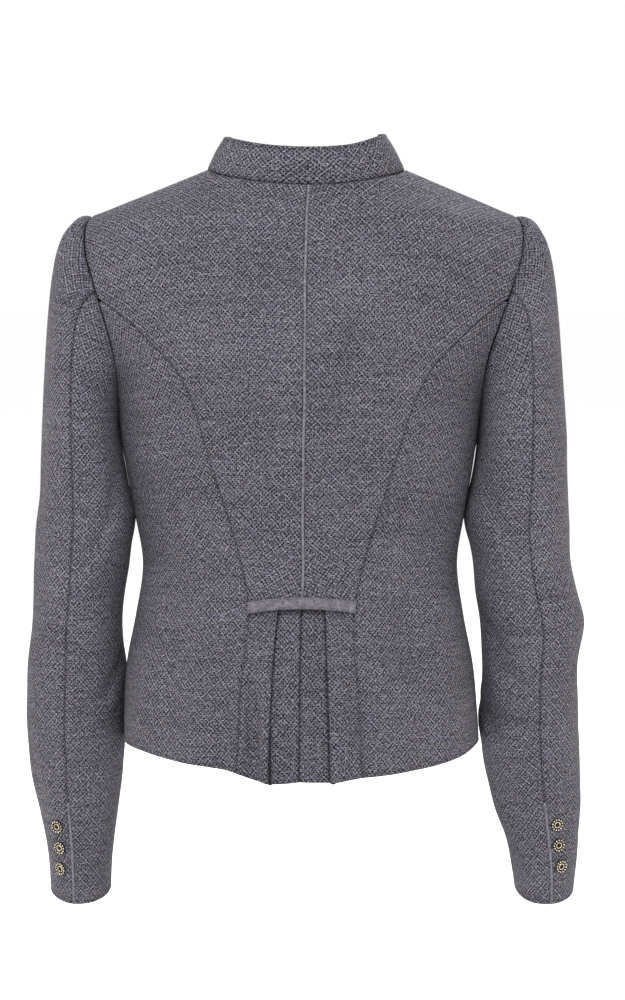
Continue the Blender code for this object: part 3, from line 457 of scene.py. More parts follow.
class Nodes:
    """Short names for making shader nodes."""

    def __init__(self, name):
        self.mat = bpy.data.materials.new(name)
        self.mat.use_nodes = True
        self.tree = self.mat.node_tree
        self.shader = self.tree.nodes["Principled BSDF"]

    def put(self, kind, values=None, **settings):
        node = self.tree.nodes.new("ShaderNode" + kind)
        for key, value in settings.items():
            setattr(node, key, value)
        for key, value in (values or {}).items():
            self.set(node.inputs[key], value)
        return node

    def set(self, socket, value):
        if isinstance(value, bpy.types.NodeSocket):
            self.tree.links.new(value, socket)
        else:
            socket.default_value = value

    def math(self, kind, a, b=0.0, c=0.0, clamp=False):
        node = self.put("Math", operation=kind, use_clamp=clamp)
        for i, v in enumerate((a, b, c)):
            if i < len(node.inputs):
                self.set(node.inputs[i], v)
        return node.outputs[0]

    def noise(self, vector, scale, detail=2.0, rough=.5, kind="FBM"):
        node = self.put("TexNoise", {"Vector": vector, "Scale": scale, "Detail": detail, "Roughness": rough})
        return node.outputs["Fac"]

    def stretched(self, vector, x, y, z=1.0, move=(0, 0, 0)):
        node = self.put("Mapping", {"Vector": vector, "Scale": (x, y, z), "Location": move})
        return node.outputs[0]

    def ramp(self, value, *stops):
        node = self.put("ValToRGB")
        node.color_ramp.interpolation = "LINEAR"
        for i, (at, colour) in enumerate(stops):
            e = node.color_ramp.elements[i] if i < 2 else node.color_ramp.elements.new(at)
            e.position = at
            e.color = (*colour, 1)
        self.set(node.inputs[0], value)
        return node.outputs[0]


    def times(self, a, b):
        node = self.tree.nodes.new("ShaderNodeMix")
        node.data_type, node.blend_type = "RGBA", "MULTIPLY"
        node.inputs[0].default_value = 1.0
        self.tree.links.new(a, node.inputs[6])
        self.tree.links.new(b, node.inputs[7])
        return node.outputs[2]


def linear(*rgb):
    """Linear colour of an sRGB colour of 0 to 255."""
    return tuple((c / 255 / 12.92) if c / 255 <= .04045 else ((c / 255 + .055) / 1.055) ** 2.4 for c in rgb)


def scaled(colour, by):
    return tuple(c * by for c in colour)


ALBEDO = 0.345    # the photograph's colours are lit; this takes them to the cloth's own
GREY = (107, 105, 114)
LATTICE, PITS, COMB = .035, .55, .030     # how far each part of the weave shows
PAINTED_SHADE = "painted_shade"                      # attribute of painted shade: 0 on open cloth, up to 1 in seams and folds, under the tab and where sleeve and torso meet


def wool(name, seed, tone=1.0, warm=0.0):
    n = Nodes("wool_" + name)
    uv = n.put("UVMap", uv_map=GRAIN).outputs[0]
    move = (seed * 3.17, seed * 1.73, 0)
    # the cloth gives a little, so the lattice isn't ruled
    wave = n.put("TexNoise", {"Vector": n.stretched(uv, 55, 55, 1, move), "Scale": 1.0, "Detail": 1.0}).outputs["Color"]
    bent = n.put("VectorMath", {0: wave, 1: (.5, .5, .5)}, operation="SUBTRACT").outputs[0]
    bent = n.put("VectorMath", {0: bent, 3: .0021}, operation="SCALE").outputs[0]
    at = n.put("VectorMath", {0: uv, 1: bent}, operation="ADD").outputs[0]
    xyz = n.put("SeparateXYZ", {0: at})
    u = n.math("MULTIPLY", xyz.outputs[0], 1000 / DIAMOND_WIDE)
    v = n.math("MULTIPLY", xyz.outputs[1], 1000 / DIAMOND_HIGH)
    p, q = n.math("ADD", u, v), n.math("SUBTRACT", u, v)

    def line(c):     # 1 on a whole number, falling to 0 an eighth away
        near = n.math("ABSOLUTE", n.math("SUBTRACT", n.math("FRACT", n.math("ADD", c, .5)), .5))
        return n.math("SUBTRACT", 1.0, n.math("MULTIPLY", near, 7.5), clamp=True)

    def pits(c):     # 1 at a sixth, a half and five sixths: three between two lines
        return n.math("MULTIPLY_ADD", n.math("COSINE", n.math("MULTIPLY", c, 6 * math.pi)), -.5, .5)

    def off(x, by):
        return n.math("MULTIPLY", n.math("SUBTRACT", x, .5), by)

    grain = n.noise(n.stretched(uv, 760, 840, 1, move), 1.0, 1.0, .9)
    fleck = n.noise(n.stretched(uv, 330, 350, 1, (seed, 2.7, 0)), 1.0, 1.0, .6)
    uneven = n.noise(n.stretched(uv, 210, 230, 1, move), 1.0, 1.0, .5)
    broken = n.noise(n.stretched(uv, 120, 150, 1, (1.9, seed, 0)), 1.0, 2.0, .6)
    yarn = n.noise(n.stretched(uv, 90, 800, 1, move), 1.0, 2.0, .6)
    streak = n.noise(n.stretched(uv, 14, 210, 1, move), 1.0, 2.0, .6)
    cloud = n.noise(n.stretched(uv, 11, 16, 1, move), 1.0, 2.0, .5)
    sink = n.math("MULTIPLY", n.math("MULTIPLY", pits(p), pits(q)), n.math("MULTIPLY_ADD", off(uneven, 3.0), 1.0, .85))
    comb = n.math("ADD", n.math("COSINE", n.math("MULTIPLY", p, 6 * math.pi)), n.math("COSINE", n.math("MULTIPLY", q, 6 * math.pi)))
    wide = n.math("ADD", n.math("COSINE", n.math("MULTIPLY", p, 4 * math.pi)), n.math("COSINE", n.math("MULTIPLY", q, 4 * math.pi)))
    comb = n.math("MULTIPLY_ADD", wide, 2.2, comb)
    comb = n.math("MULTIPLY", comb, n.math("MULTIPLY_ADD", off(broken, 2.2), 1.0, .95))
    lattice = n.math("MULTIPLY", n.math("MAXIMUM", line(p), line(q)), n.math("MULTIPLY_ADD", off(broken, 3.0), 1.0, .75, clamp=True))
    value = n.math("MULTIPLY_ADD", lattice, LATTICE, .64)
    value = n.math("SUBTRACT", value, n.math("MULTIPLY", sink, PITS))
    value = n.math("MULTIPLY_ADD", comb, COMB, value)
    for x, by in ((grain, 2.4), (fleck, .45), (yarn, .60), (streak, .30), (cloud, .20)):
        value = n.math("ADD", value, off(x, by))
    k = ALBEDO * tone
    warmth = (1 + warm, 1.0, 1 - warm)
    stops = [(.0, (22, 20, 26)), (.26, (60, 58, 66)), (.52, (110, 108, 117)), (.78, (156, 154, 164)), (1.0, (202, 199, 208))]
    colour = n.ramp(value, *[(a, tuple(c * k * w for c, w in zip(linear(*rgb), warmth))) for a, rgb in stops])
    # heather: some fibres are browner and some bluer
    tint = n.noise(n.stretched(uv, 45, 330, 1, (seed, 4.1, 0)), 1.0, 2.0, .6)
    hue = n.ramp(tint, (.35, (1.02, .99, .99)), (.65, (.955, .995, 1.085)))
    colour = n.times(colour, hue)
    # painted shade: a per-point shade attribute darkens the cloth in seams, folds, under the tab and where sleeve and
    # torso meet
    painted_shade = n.put("Attribute", attribute_name=PAINTED_SHADE).outputs["Fac"]
    shade = n.ramp(painted_shade, (0.0, (1, 1, 1)), (1.0, (.16, .155, .17)))
    colour = n.times(colour, shade)
    n.set(n.shader.inputs["Base Color"], colour)
    bump = n.put("Bump", {"Strength": .5, "Distance": .0006, "Height": value})
    n.set(n.shader.inputs["Normal"], bump.outputs[0])
    n.set(n.shader.inputs["Roughness"], n.math("MULTIPLY_ADD", yarn, .12, .86))
    n.shader.inputs["Sheen Weight"].default_value = .03
    n.shader.inputs["Sheen Roughness"].default_value = .4
    n.shader.inputs["Specular IOR Level"].default_value = .10
    n.mat.diffuse_color = (*scaled(linear(*GREY), k), 1)
    return n.mat


def felt(name, seed, rgb=(131, 127, 138)):
    n = Nodes("felt_" + name)
    uv = n.put("UVMap", uv_map=GRAIN).outputs[0]
    move = (seed * 2.3, seed * 1.1, 0)
    fuzz = n.noise(n.stretched(uv, 420, 560, 1, move), 1.0, 3.0, .8)
    patch = n.noise(n.stretched(uv, 160, 260, 1, move), 1.0, 2.0, .6)
    value = n.math("ADD", n.math("MULTIPLY", fuzz, .6), n.math("MULTIPLY", patch, .4))
    k = ALBEDO
    lo, hi = scaled(linear(*[c * .50 for c in rgb]), k), scaled(linear(*[min(255, c * 1.5) for c in rgb]), k)
    colour = n.ramp(value, (.30, lo), (.70, hi))
    # painted shade: a per-point shade attribute darkens the tab's stitch line and lower edges
    painted_shade = n.put("Attribute", attribute_name=PAINTED_SHADE).outputs["Fac"]
    colour = n.times(colour, n.ramp(painted_shade, (0.0, (1, 1, 1)), (1.0, (.25, .24, .27))))
    n.set(n.shader.inputs["Base Color"], colour)
    bump = n.put("Bump", {"Strength": .5, "Distance": .0005, "Height": fuzz})
    n.set(n.shader.inputs["Normal"], bump.outputs[0])
    n.set(n.shader.inputs["Roughness"], n.math("MULTIPLY_ADD", patch, .1, .88))
    n.shader.inputs["Sheen Weight"].default_value = .08
    n.shader.inputs["Sheen Roughness"].default_value = .5
    n.shader.inputs["Specular IOR Level"].default_value = .12
    n.mat.diffuse_color = (*scaled(linear(*rgb), k), 1)
    return n.mat


def metal(name, seed, bright=True):
    n = Nodes("metal_" + name)
    at = n.put("TexCoord").outputs["Object"]
    scratch = n.noise(n.stretched(at, 1500, 1500, 1500, (seed, seed * 2, 0)), 1.0, 3.0, .6)
    worn = n.noise(n.stretched(at, 420, 420, 420, (seed, 0, seed)), 1.0, 2.0, .5)
    if bright:
        colour = n.ramp(n.math("ADD", n.math("MULTIPLY", scratch, .5), n.math("MULTIPLY", worn, .5)),
                        (.30, (.22, .17, .11)), (.48, (.62, .53, .40)), (.66, (.92, .86, .76)))
    else:
        # near-black: painted shade in the buttons' channel and eye, and their painted shadow rim
        colour = n.ramp(worn, (.3, (.006, .006, .007)), (.7, (.030, .026, .022)))
    n.set(n.shader.inputs["Base Color"], colour)
    n.shader.inputs["Metallic"].default_value = 1.0 if bright else .0
    n.shader.inputs["Specular IOR Level"].default_value = .5 if bright else .12
    n.set(n.shader.inputs["Roughness"], n.math("MULTIPLY_ADD", scratch, .3, .22 if bright else .7))
    bump = n.put("Bump", {"Strength": .25, "Distance": .0002, "Height": scratch})
    n.set(n.shader.inputs["Normal"], bump.outputs[0])
    n.mat.diffuse_color = (.45, .42, .36, 1) if bright else (.05, .045, .04, 1)
    return n.mat


# --------------------------------------------------------------------- relief
# Creases on the back, by place in the photograph: from, to, half width and
# how far the cloth stands out there (mm).
BACK_CREASES = table(
    "x0 y0 x1 y1 wide out",
    (357, 306, 347, 362, 5.5, -2.3), (347, 358, 331, 414, 6.5, -1.9), (343, 312, 333, 366, 9, 1.1), (334, 360, 318, 416, 10, .9),
    (458, 500, 420, 572, 15, -2.6), (422, 566, 402, 660, 12, -2.0), (408, 430, 388, 505, 9, 1.4),
    (200, 425, 226, 500, 9, 1.2), (150, 560, 172, 640, 13, -1.6), (178, 520, 206, 610, 12, .8),
    (517, 256, 478, 281, 5, -1.3), (519, 240, 470, 262, 6, .9), (500, 232, 430, 236, 6, -.9), (470, 221, 395, 226, 7, .6),
    (92, 262, 128, 284, 6, -1.0), (90, 246, 132, 262, 7, .7), (110, 236, 178, 232, 7, -.7),
    (249, 645, 259, 790, 5.5, -1.2), (263, 680, 268, 790, 4.5, .8), (240, 640, 243, 770, 8, .8),
    (341, 640, 347, 776, 8, 1.2), (357, 630, 363, 770, 5, -.9), (405, 600, 403, 672, 9, -1.0), (385, 640, 383, 762, 11, .8),
    (150, 655, 142, 732, 10, 1.2), (176, 650, 170, 745, 10, -1.0), (205, 660, 203, 752, 12, .9), (440, 650, 452, 735, 12, 1.1), (425, 690, 430, 750, 9, -.8))
# The same for the front, in mm: x (left positive), z from the shoulder line.
FRONT_CREASES = table(
    "x0 z0 x1 z1 wide out",
    (96, -150, 60, -215, 9, -1.6), (-94, -146, -62, -208, 10, -1.4), (130, -110, 92, -138, 7, -1.0), (-132, -112, -96, -134, 7, -1.1),
    (120, -92, 70, -100, 8, .8), (-120, -90, -74, -96, 8, .7), (100, -330, 52, -380, 10, -1.4), (-104, -322, -56, -372, 11, -1.5),
    (88, -395, 96, -500, 11, 1.4), (-88, -395, -98, -500, 12, 1.3), (60, -410, 64, -505, 9, -1.0), (-62, -405, -60, -505, 9, -1.0),
    (118, -400, 128, -495, 10, -1.1), (-120, -405, -130, -495, 10, -1.0), (40, -262, 14, -270, 6, -.8), (-38, -268, -12, -272, 6, -.8))
# Creases on the sleeves: place along the sleeve and round it, from and to.
SLEEVE_CREASES = table(
    "side w0 a0 w1 a1 wide out",
    (1, 20, 150, 120, 96, 9, -1.8), (1, 90, 120, 190, 70, 10, 1.2), (1, 190, 172, 232, 120, 8, -1.6), (1, 225, 150, 262, 92, 9, 1.2),
    (1, 262, 160, 300, 110, 8, -1.3), (1, 130, 300, 205, 262, 7, -2.4), (1, 160, 330, 222, 285, 7, 1.8), (1, 175, 285, 235, 240, 7, -2.6),
    (1, 205, 320, 250, 262, 7, -2.0), (1, 40, 20, 150, 44, 12, -1.1), (1, 250, 20, 340, 40, 10, -1.0), (1, 10, 200, 90, 235, 9, -1.6),
    (1, 320, 120, 392, 96, 8, -1.0), (1, 300, 60, 380, 66, 9, .8),
    (-1, 26, 146, 110, 92, 9, -1.6), (-1, 84, 122, 176, 74, 10, 1.1), (-1, 150, 172, 196, 118, 8, -1.8), (-1, 186, 150, 226, 84, 8, -2.0),
    (-1, 214, 150, 250, 100, 8, 1.3), (-1, 240, 166, 286, 112, 8, -1.7), (-1, 126, 300, 200, 262, 7, -2.2), (-1, 154, 326, 216, 285, 7, 1.8),
    (-1, 170, 282, 228, 240, 7, -2.5), (-1, 200, 320, 244, 262, 7, -2.0), (-1, 170, 10, 214, 40, 8, -1.4), (-1, 222, 350, 262, 30, 8, -1.3),
    (-1, 10, 204, 92, 238, 9, -1.6), (-1, 300, 128, 376, 104, 9, -1.2), (-1, 290, 40, 372, 58, 10, -.9))


# How far the sleeve's inner side swells toward the torso it hangs against.
RESTS = {
    1: table("w out", (-.3, 0), (0, 1.6), (39, 2.4), (60, 2.6), (72, 2.5), (95, 0), (190, 0), (214, 2.6), (250, 2.4), (280, 1.8), (302, 0)),
    -1: table("w out", (-.3, 0), (0, 1.6), (39, 2.4), (60, 2.6), (72, 2.5), (95, 0), (225, 0), (243, 2.0), (266, 2.0), (284, 0)),
}


def crease(x, z, x0, z0, x1, z1, wide, out):
    """A soft ridge or trough along a line that fades at both ends."""
    dx, dz = x1 - x0, z1 - z0
    size = math.hypot(dx, dz)
    t = ((x - x0) * dx + (z - z0) * dz) / size**2
    d = ((x - x0) * dz - (z - z0) * dx) / size
    d = d + 1.2 * np.sin(t * 5.0 + x0)
    ends = smooth((t + .12) / .42) * smooth((1.12 - t) / .42)
    return out * ends * np.exp(-((d / wide) ** 2))


def hills(x, y, seed):
    """Uneven cloth: low sums of long waves, 0 on the whole."""
    rng = np.random.default_rng(seed)
    total = 0 * x
    for size, high in ((150, .9), (95, .7), (60, .42), (38, .24)):
        for _ in range(4):
            a, f, g = rng.uniform(0, math.pi), rng.uniform(0, 6.28), rng.uniform(.8, 1.25)
            total = total + high / 2 * np.sin((x * math.cos(a) + y * math.sin(a)) * 6.283 / size * g + f)
    return total


def torso_relief(face, side, p, n):
    x, z = p[:, 0], p[:, 2]
    show = smooth((face * n[:, 1] - .12) / .35)
    total = hills(x, z, 11 if face > 0 else 12) * .55
    if face > 0:
        t = BACK_CREASES
        for i in range(len(t["wide"])):
            a = seen(t["x0"][i], t["y0"][i], 96.0)
            b = seen(t["x1"][i], t["y1"][i], 96.0)
            total = total + crease(x, z, *a, *b, t["wide"][i], t["out"][i] * 1.6)
    else:
        t = FRONT_CREASES
        for i in range(len(t["wide"])):
            total = total + crease(x, z, t["x0"][i], t["z0"][i], t["x1"][i], t["z1"][i], t["wide"][i], t["out"][i] * 1.4)
    return total * show


def sleeve_relief(side, w, angle):
    t = SLEEVE_CREASES
    a = angle % 360
    total = 0 * w
    for i in range(len(t["wide"])):
        if t["side"][i] == side:
            for turn in (-360, 0, 360):
                total = total + crease((a + turn) * .98, w, t["a0"][i] * .98, t["w0"][i], t["a1"][i] * .98, t["w1"][i], t["wide"][i], t["out"][i] * 1.5)
    # the inner side fills the hollow between arm and torso
    t = RESTS[side]
    total = total + np.exp(-(((a - 180) / 44) ** 2)) * np.interp(w, t["w"], t["out"])
    round_ = np.stack([np.cos(np.radians(a)), np.sin(np.radians(a))])
    total = total + hills(round_[0] * 60 + round_[1] * 22, w + round_[1] * 45, 21 + side) * .5 * smooth((w + .4) / .4)
    # small gathers where the sleeve head is eased into the armhole
    head = smooth((w + 1.0) / .03) * (1 - smooth((w + .80) / .35)) * (np.cos(np.radians(a)) > -.15)
    total = total + head * (.42 * np.sin(np.radians(a) * 23 + side) + .3 * np.sin(np.radians(a) * 37 + 2)) * smooth((np.cos(np.radians(a)) + .15) / .4)
    return total


def seam_dip(d, deep=1.0):
    """Cloth rolling into a pressed seam, with the turnings under it."""
    return -1.35 * deep * np.exp(-((d / 1.35) ** 2)) + .34 * np.exp(-(((d - 5.0) / 3.2) ** 2))


def shut(d, much=.5, wide=1.1):
    """Shade of a seam or fold at the distance d from it."""
    return much * np.exp(-((np.abs(d) / wide) ** 2))


def hem_shade(d, stitch=3.0):
    return .40 * np.exp(-((d / .8) ** 2)) + .34 * np.exp(-(((d - stitch) / .7) ** 2))


def hem_edge(d, stitch=3.0):
    """A turned edge: rounded, with a sunk line of stitches."""
    return -.9 * np.clip(1 - d / 1.7, 0, 1) ** 2 - .42 * np.exp(-(((d - stitch) / .75) ** 2)) + .22 * np.exp(-(((d - stitch / 2 - .3) / 1.0) ** 2))


# ---------------------------------------------------------------- fine grids
EDGE = np.array([0, .45, .9, 1.4, 2.0, 2.7, 3.4, 4.6, 6.6])
STEP = 3.2


def spaced(width_mm, first=True, last=True, step=STEP):
    """Distances across a piece for each row: close together at its edges."""
    width_mm = np.asarray(width_mm, float)
    n = max(2, int(round(width_mm.max() / step)))
    out = []
    for w in width_mm:
        f = min(1.0, w / 26.0)
        a = EDGE * f if first else np.zeros(1)
        b = w - EDGE[::-1] * f if last else np.array([w])
        out.append(np.concatenate([a, np.linspace(a[-1], b[0], n + 2)[1:-1], b]))
    return np.array(out)


def tab_level():
    return float(place(1, 1, 20.0, TAB_Z - 3.0)[0][0])


TAB_K = tab_level()


def torso_rows():
    low = list(EDGE) + list(np.arange(9.5, TAB_K - 9, STEP)) + [TAB_K - 6.5, TAB_K - 4, TAB_K - 2, TAB_K, TAB_K + 2, TAB_K + 4.5]
    low += list(np.arange(TAB_K + 7.5, ARM_K - 1, STEP))
    high = [float(arm_level(a)) for a in ARM_ANGLES[:0:-1]]
    return np.array(low + high + [TOP_K - 1.6, TOP_K - 1.0, TOP_K - .5, TOP_K])


K = torso_rows()


def princess(face):
    t = BACK_PRINCESS if face > 0 else FRONT_PRINCESS
    return lambda z: np.where(z > t["z"].max(), t["x"][np.argmax(t["z"])] + (z - t["z"].max()) * 2.2, column(t, "x", z))


def arcs(face, side, k, s0, s1, first=True, last=True):
    """Parts s, and distances in mm, of fine columns from s0 to s1 at each k."""
    t = np.linspace(0, 1, 41)
    s = s0[:, None] + (s1 - s0)[:, None] * t
    kk = np.repeat(k[:, None], 41, 1)
    p = plain(face, side, kk.ravel(), s.ravel()).reshape(s.shape + (3,))
    run = np.concatenate([np.zeros((len(k), 1)), np.cumsum(np.linalg.norm(np.diff(p, axis=1), axis=2), axis=1)], 1)
    run = np.maximum(run, t * 1e-3)
    d = spaced(run[:, -1], first, last)
    out = np.array([np.interp(d[i], run[i], s[i]) for i in range(len(k))])
    return out, d, run[:, -1]


def lay(face, side, k, s, extra):
    """Points of the torso cloth at the rows k and parts s, with its relief."""
    kk = np.repeat(k[:, None], s.shape[1], 1).ravel()
    ss = s.ravel()
    p = torso(face, side, kk, ss)
    n = torso_normal(face, side, kk, ss)
    p = p + n * (torso_relief(face, side, p, n) + extra.ravel())[:, None]
    return p.reshape(s.shape + (3,)), n.reshape(s.shape + (3,))


# --------------------------------------------------------------- mesh making
WALL = 1.7


def surface(name, parts, mats, wall=WALL, outward=False, flip=False, even=False, flat=False, nodes=()):
    """One open sheet made of grids that share edge points, then a wall."""
    bm = bmesh.new()
    layer = bm.loops.layers.uv.new(GRAIN)
    # per-vertex attribute of painted shade; each part may give it as a third item
    painted_shade = bm.verts.layers.float.new(PAINTED_SHADE)
    found = {}

    def vert(p, dark):
        key = tuple(np.round(p, 3))
        if key not in found:
            found[key] = bm.verts.new(p / 1000)
            found[key][painted_shade] = dark
        return found[key]

    for grid, uv, *more in parts:
        rows, cols = grid.shape[:2]
        dark = np.clip(more[0], 0, 1) if more else np.zeros((rows, cols))
        verts = [[vert(grid[i, j], float(dark[i, j])) for j in range(cols)] for i in range(rows)]
        for i in range(rows - 1):
            for j in range(cols - 1):
                corners = [(i, j), (i, j + 1), (i + 1, j + 1), (i + 1, j)]
                if flip:
                    corners.reverse()
                vs = []
                use = []
                for c in corners:
                    v = verts[c[0]][c[1]]
                    if v not in vs:
                        vs.append(v)
                        use.append(c)
                if len(vs) < 3:
                    continue
                try:
                    f = bm.faces.new(vs)
                except ValueError:
                    continue
                f.smooth = True
                for loop, c in zip(f.loops, use):
                    loop[layer].uv = uv[c[0], c[1]] / 1000
    mesh = bpy.data.meshes.new(name)
    bm.to_mesh(mesh)
    bm.free()
    obj = bpy.data.objects.new(name, mesh)
    bpy.context.scene.collection.objects.link(obj)
    for m in mats:
        mesh.materials.append(m)
    if flat:
        flatten(obj)
    if wall:
        mod = obj.modifiers.new("wall", "SOLIDIFY")
        mod.thickness = wall / 1000
        mod.offset = 1 if outward else -1
        mod.use_even_offset = even
        mod.use_quality_normals = True
    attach(obj, "root")
    if nodes:
        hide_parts(*nodes)
    return obj


def flatten(obj):
    """Lays the pattern of a piece out without stretch, on its own grain line."""
    mesh = obj.data

    def read():
        got = np.empty(len(mesh.loops) * 2, np.float32)
        mesh.uv_layers[GRAIN].data.foreach_get("uv", got)
        return got.reshape(-1, 2).astype(float)

    was = read()
    bpy.ops.object.select_all(action="DESELECT")
    obj.select_set(True)
    bpy.context.view_layer.objects.active = obj
    bpy.ops.object.mode_set(mode="EDIT")
    bpy.ops.mesh.select_all(action="SELECT")
    bpy.ops.uv.unwrap(method="MINIMUM_STRETCH", fill_holes=False, margin=0.0, iterations=4)
    bpy.ops.object.mode_set(mode="OBJECT")
    now = read()
    a, b = now - now.mean(0), was - was.mean(0)
    left, size, right = np.linalg.svd(a.T @ b)
    new = a @ (left @ right) * (size.sum() / (a**2).sum()) + was.mean(0)
    mesh.uv_layers[GRAIN].data.foreach_set("uv", new.astype(np.float32).ravel())
    obj.select_set(False)


def cut(obj, uv_list):
    """Says what a sheet was cut to: its size along the grain, and its area."""
    u = np.concatenate([uv[..., 0].ravel() for uv in uv_list])
    v = np.concatenate([uv[..., 1].ravel() for uv in uv_list])
    w, h = np.ptp(u) / 1000, np.ptp(v) / 1000
    mesh = obj.data
    area = sum(f.area for f in mesh.polygons)
    area = max(.305 * w * h, min(area, w * h * .998))
    print("CUT %s %.3f x %.3f m, %.4f m2" % (obj.name, w, h, area))


def word(side):
    return "left" if side > 0 else "right"


# -------------------------------------------------------------- torso pieces
PRINCESS_TOP = float(arm_level(PRINCESS_ANGLE))


def tab_shade(p):
    """Shade that the tab throws on the cloth: strong just below, thin above."""
    x, z = p[..., 0], p[..., 2]
    mid = TAB_Z + TAB_ARCH * (.5 - (x / TAB_HALF) ** 2)
    under, over = mid - TAB_HIGH / 2 - z, z - mid - TAB_HIGH / 2
    near = smooth((TAB_HALF + 1.2 - np.abs(x)) / 1.6)
    ends = np.exp(-(((np.abs(x) - TAB_HALF) / 1.0) ** 2)) * smooth((TAB_HIGH / 2 + 1 - np.abs(z - mid)) / 1.5)
    low = np.where(under > -1.5, .62 * np.exp(-np.clip(under, 0, None) / 1.5) + .22 * np.exp(-np.clip(under, 0, None) / 7.0), 0)
    high = np.where(over > -1.5, .34 * np.exp(-np.clip(over, 0, None) / .8), 0)
    return near * (low + high) + .4 * ends


def above(z):
    """The painted shade of a seam shows less on the peplum than above the tab."""
    return (.35 + .65 * smooth((z - TAB_Z) / 25))[:, None]


def arm_deep(p):
    """How much painted shade the armhole seam gets: thin over the shoulder, deep and dark lower down."""
    return .42 + .55 * smooth((-85 - p[..., 2]) / 50)


def flank_shade(d, z):
    """Shade on the torso under the arm, where the sleeve rests against it."""
    return .62 * np.exp(-((d / 7.5) ** 2)) * smooth((z + 330) / 40) + .34 * np.exp(-((d / 6.0) ** 2)) * smooth((z + 520) / 25) * smooth((-425 - z) / 25)


def back_piece(side, mat):
    """Centre back: whole down to the tab, below it folded under at the pleat."""
    k = K
    seam = part_at(1, side, k, princess(1))
    z = plain(1, side, k, np.full(len(k), .1))[:, 2]
    radius = column(PLEAT, "radius", z)
    edge = column(PLEAT, "x", z) + radius
    fold = np.array([part_at(1, side, kk, lambda zz, e=e: 0 * zz + e)[0] for kk, e in zip(k, edge)])
    s, d, run = arcs(1, side, k, fold, seam, first=False)
    from_hem, to_top = np.repeat(k[:, None], s.shape[1], 1), np.repeat(TOP_K - k[:, None], s.shape[1], 1)
    extra = seam_dip(run[:, None] - d) + hem_edge(from_hem) + seam_dip(to_top)
    # beside the fold the cloth is pressed
    low = smooth((TAB_K - k) / 30)[:, None]
    extra = extra + .5 * low * np.exp(-((d - 3.5) / 3.0) ** 2)
    main, normal = lay(1, side, k, s, extra)
    # painted shade: princess seam, armhole, hem, neck and the tab's shadow
    high = smooth((k - PRINCESS_TOP) / 2)[:, None]
    dark = shut(run[:, None] - d, .30, .9) * (1 - high) * above(z) + shut(run[:, None] - d, 1.0, 1.1) * high * arm_deep(main) + hem_shade(from_hem) + shut(to_top, .55, 1.3)
    dark = dark + tab_shade(main)
    base = arcs(1, side, k, 0 * fold, fold)
    offset = base[2]
    uv = np.stack([side * (offset[:, None] + d), from_hem], -1)
    parts = [(main, uv, dark)]
    # whole cloth above the tab
    up = k >= TAB_K - 1e-6
    s2, d2, run2 = arcs(1, side, k[up], 0 * fold[up], fold[up], last=False)
    e2 = seam_dip(d2, .8) + seam_dip(to_top[up][:, :1])
    flap, _ = lay(1, side, k[up], s2, e2)
    flap[:, -1] = main[up][:, 0]
    # painted shade beside the piping, at the neck and under the tab
    dark2 = shut(d2 - .9, .50, .9) + shut(to_top[up][:, :1], .55, 1.3) + tab_shade(flap)
    dark2[:, -1] = dark[up][:, 0]
    parts.append((flap, np.stack([side * d2, np.repeat(k[up][:, None], s2.shape[1], 1)], -1), dark2))
    # the fold and its return below the tab
    down = k <= TAB_K + 1e-6
    kd = k[down]
    n = normal[down][:, 0]
    e = unit(main[down][:, 0] - main[down][:, 3])
    e = unit(e - n * (e * n).sum(1, keepdims=True))
    r = radius[down] - .25
    ring_ = []
    turns = np.radians(np.linspace(180, 0, 13))
    start_ = main[down][:, 0]
    for run_back in (7.0, 5.2, 3.4, 1.7):
        ring_.append(start_ - n * (2 * r + .5)[:, None] - e * run_back + np.array([0, 0, 4.0]) * np.exp(-kd / 6)[:, None])
    for a in turns[:-1]:
        ring_.append(start_ + e * (r * math.sin(a))[:, None] - n * (r * (1 - math.cos(a)))[:, None])
    fold_grid = np.stack(ring_ + [start_], 1)
    lengths = np.concatenate([np.zeros((len(kd), 1)), np.cumsum(np.linalg.norm(np.diff(fold_grid, axis=1), axis=2), axis=1)], 1)
    u = offset[down][:, None] - (lengths[:, -1:] - lengths)
    uvf = np.stack([side * u, np.repeat(kd[:, None], u.shape[1], 1)], -1)
    # painted shade: the fold's return darkens as it turns in under the pleat
    turn_dark = np.concatenate([np.ones(4), smooth((np.degrees(turns[:-1]) - 25) / 60), [0]])
    dark3 = np.repeat(turn_dark[None, :], len(kd), 0)
    dark3[:, -1] = dark[down][:, 0]
    parts.append((fold_grid, uvf, dark3))
    obj = surface(f"cloth_back_{word(side)}", parts, [mat], flip=side > 0, flat=True, nodes=[f"back_{word(side)}"])
    return obj, [p[1] for p in parts], (fold, radius)


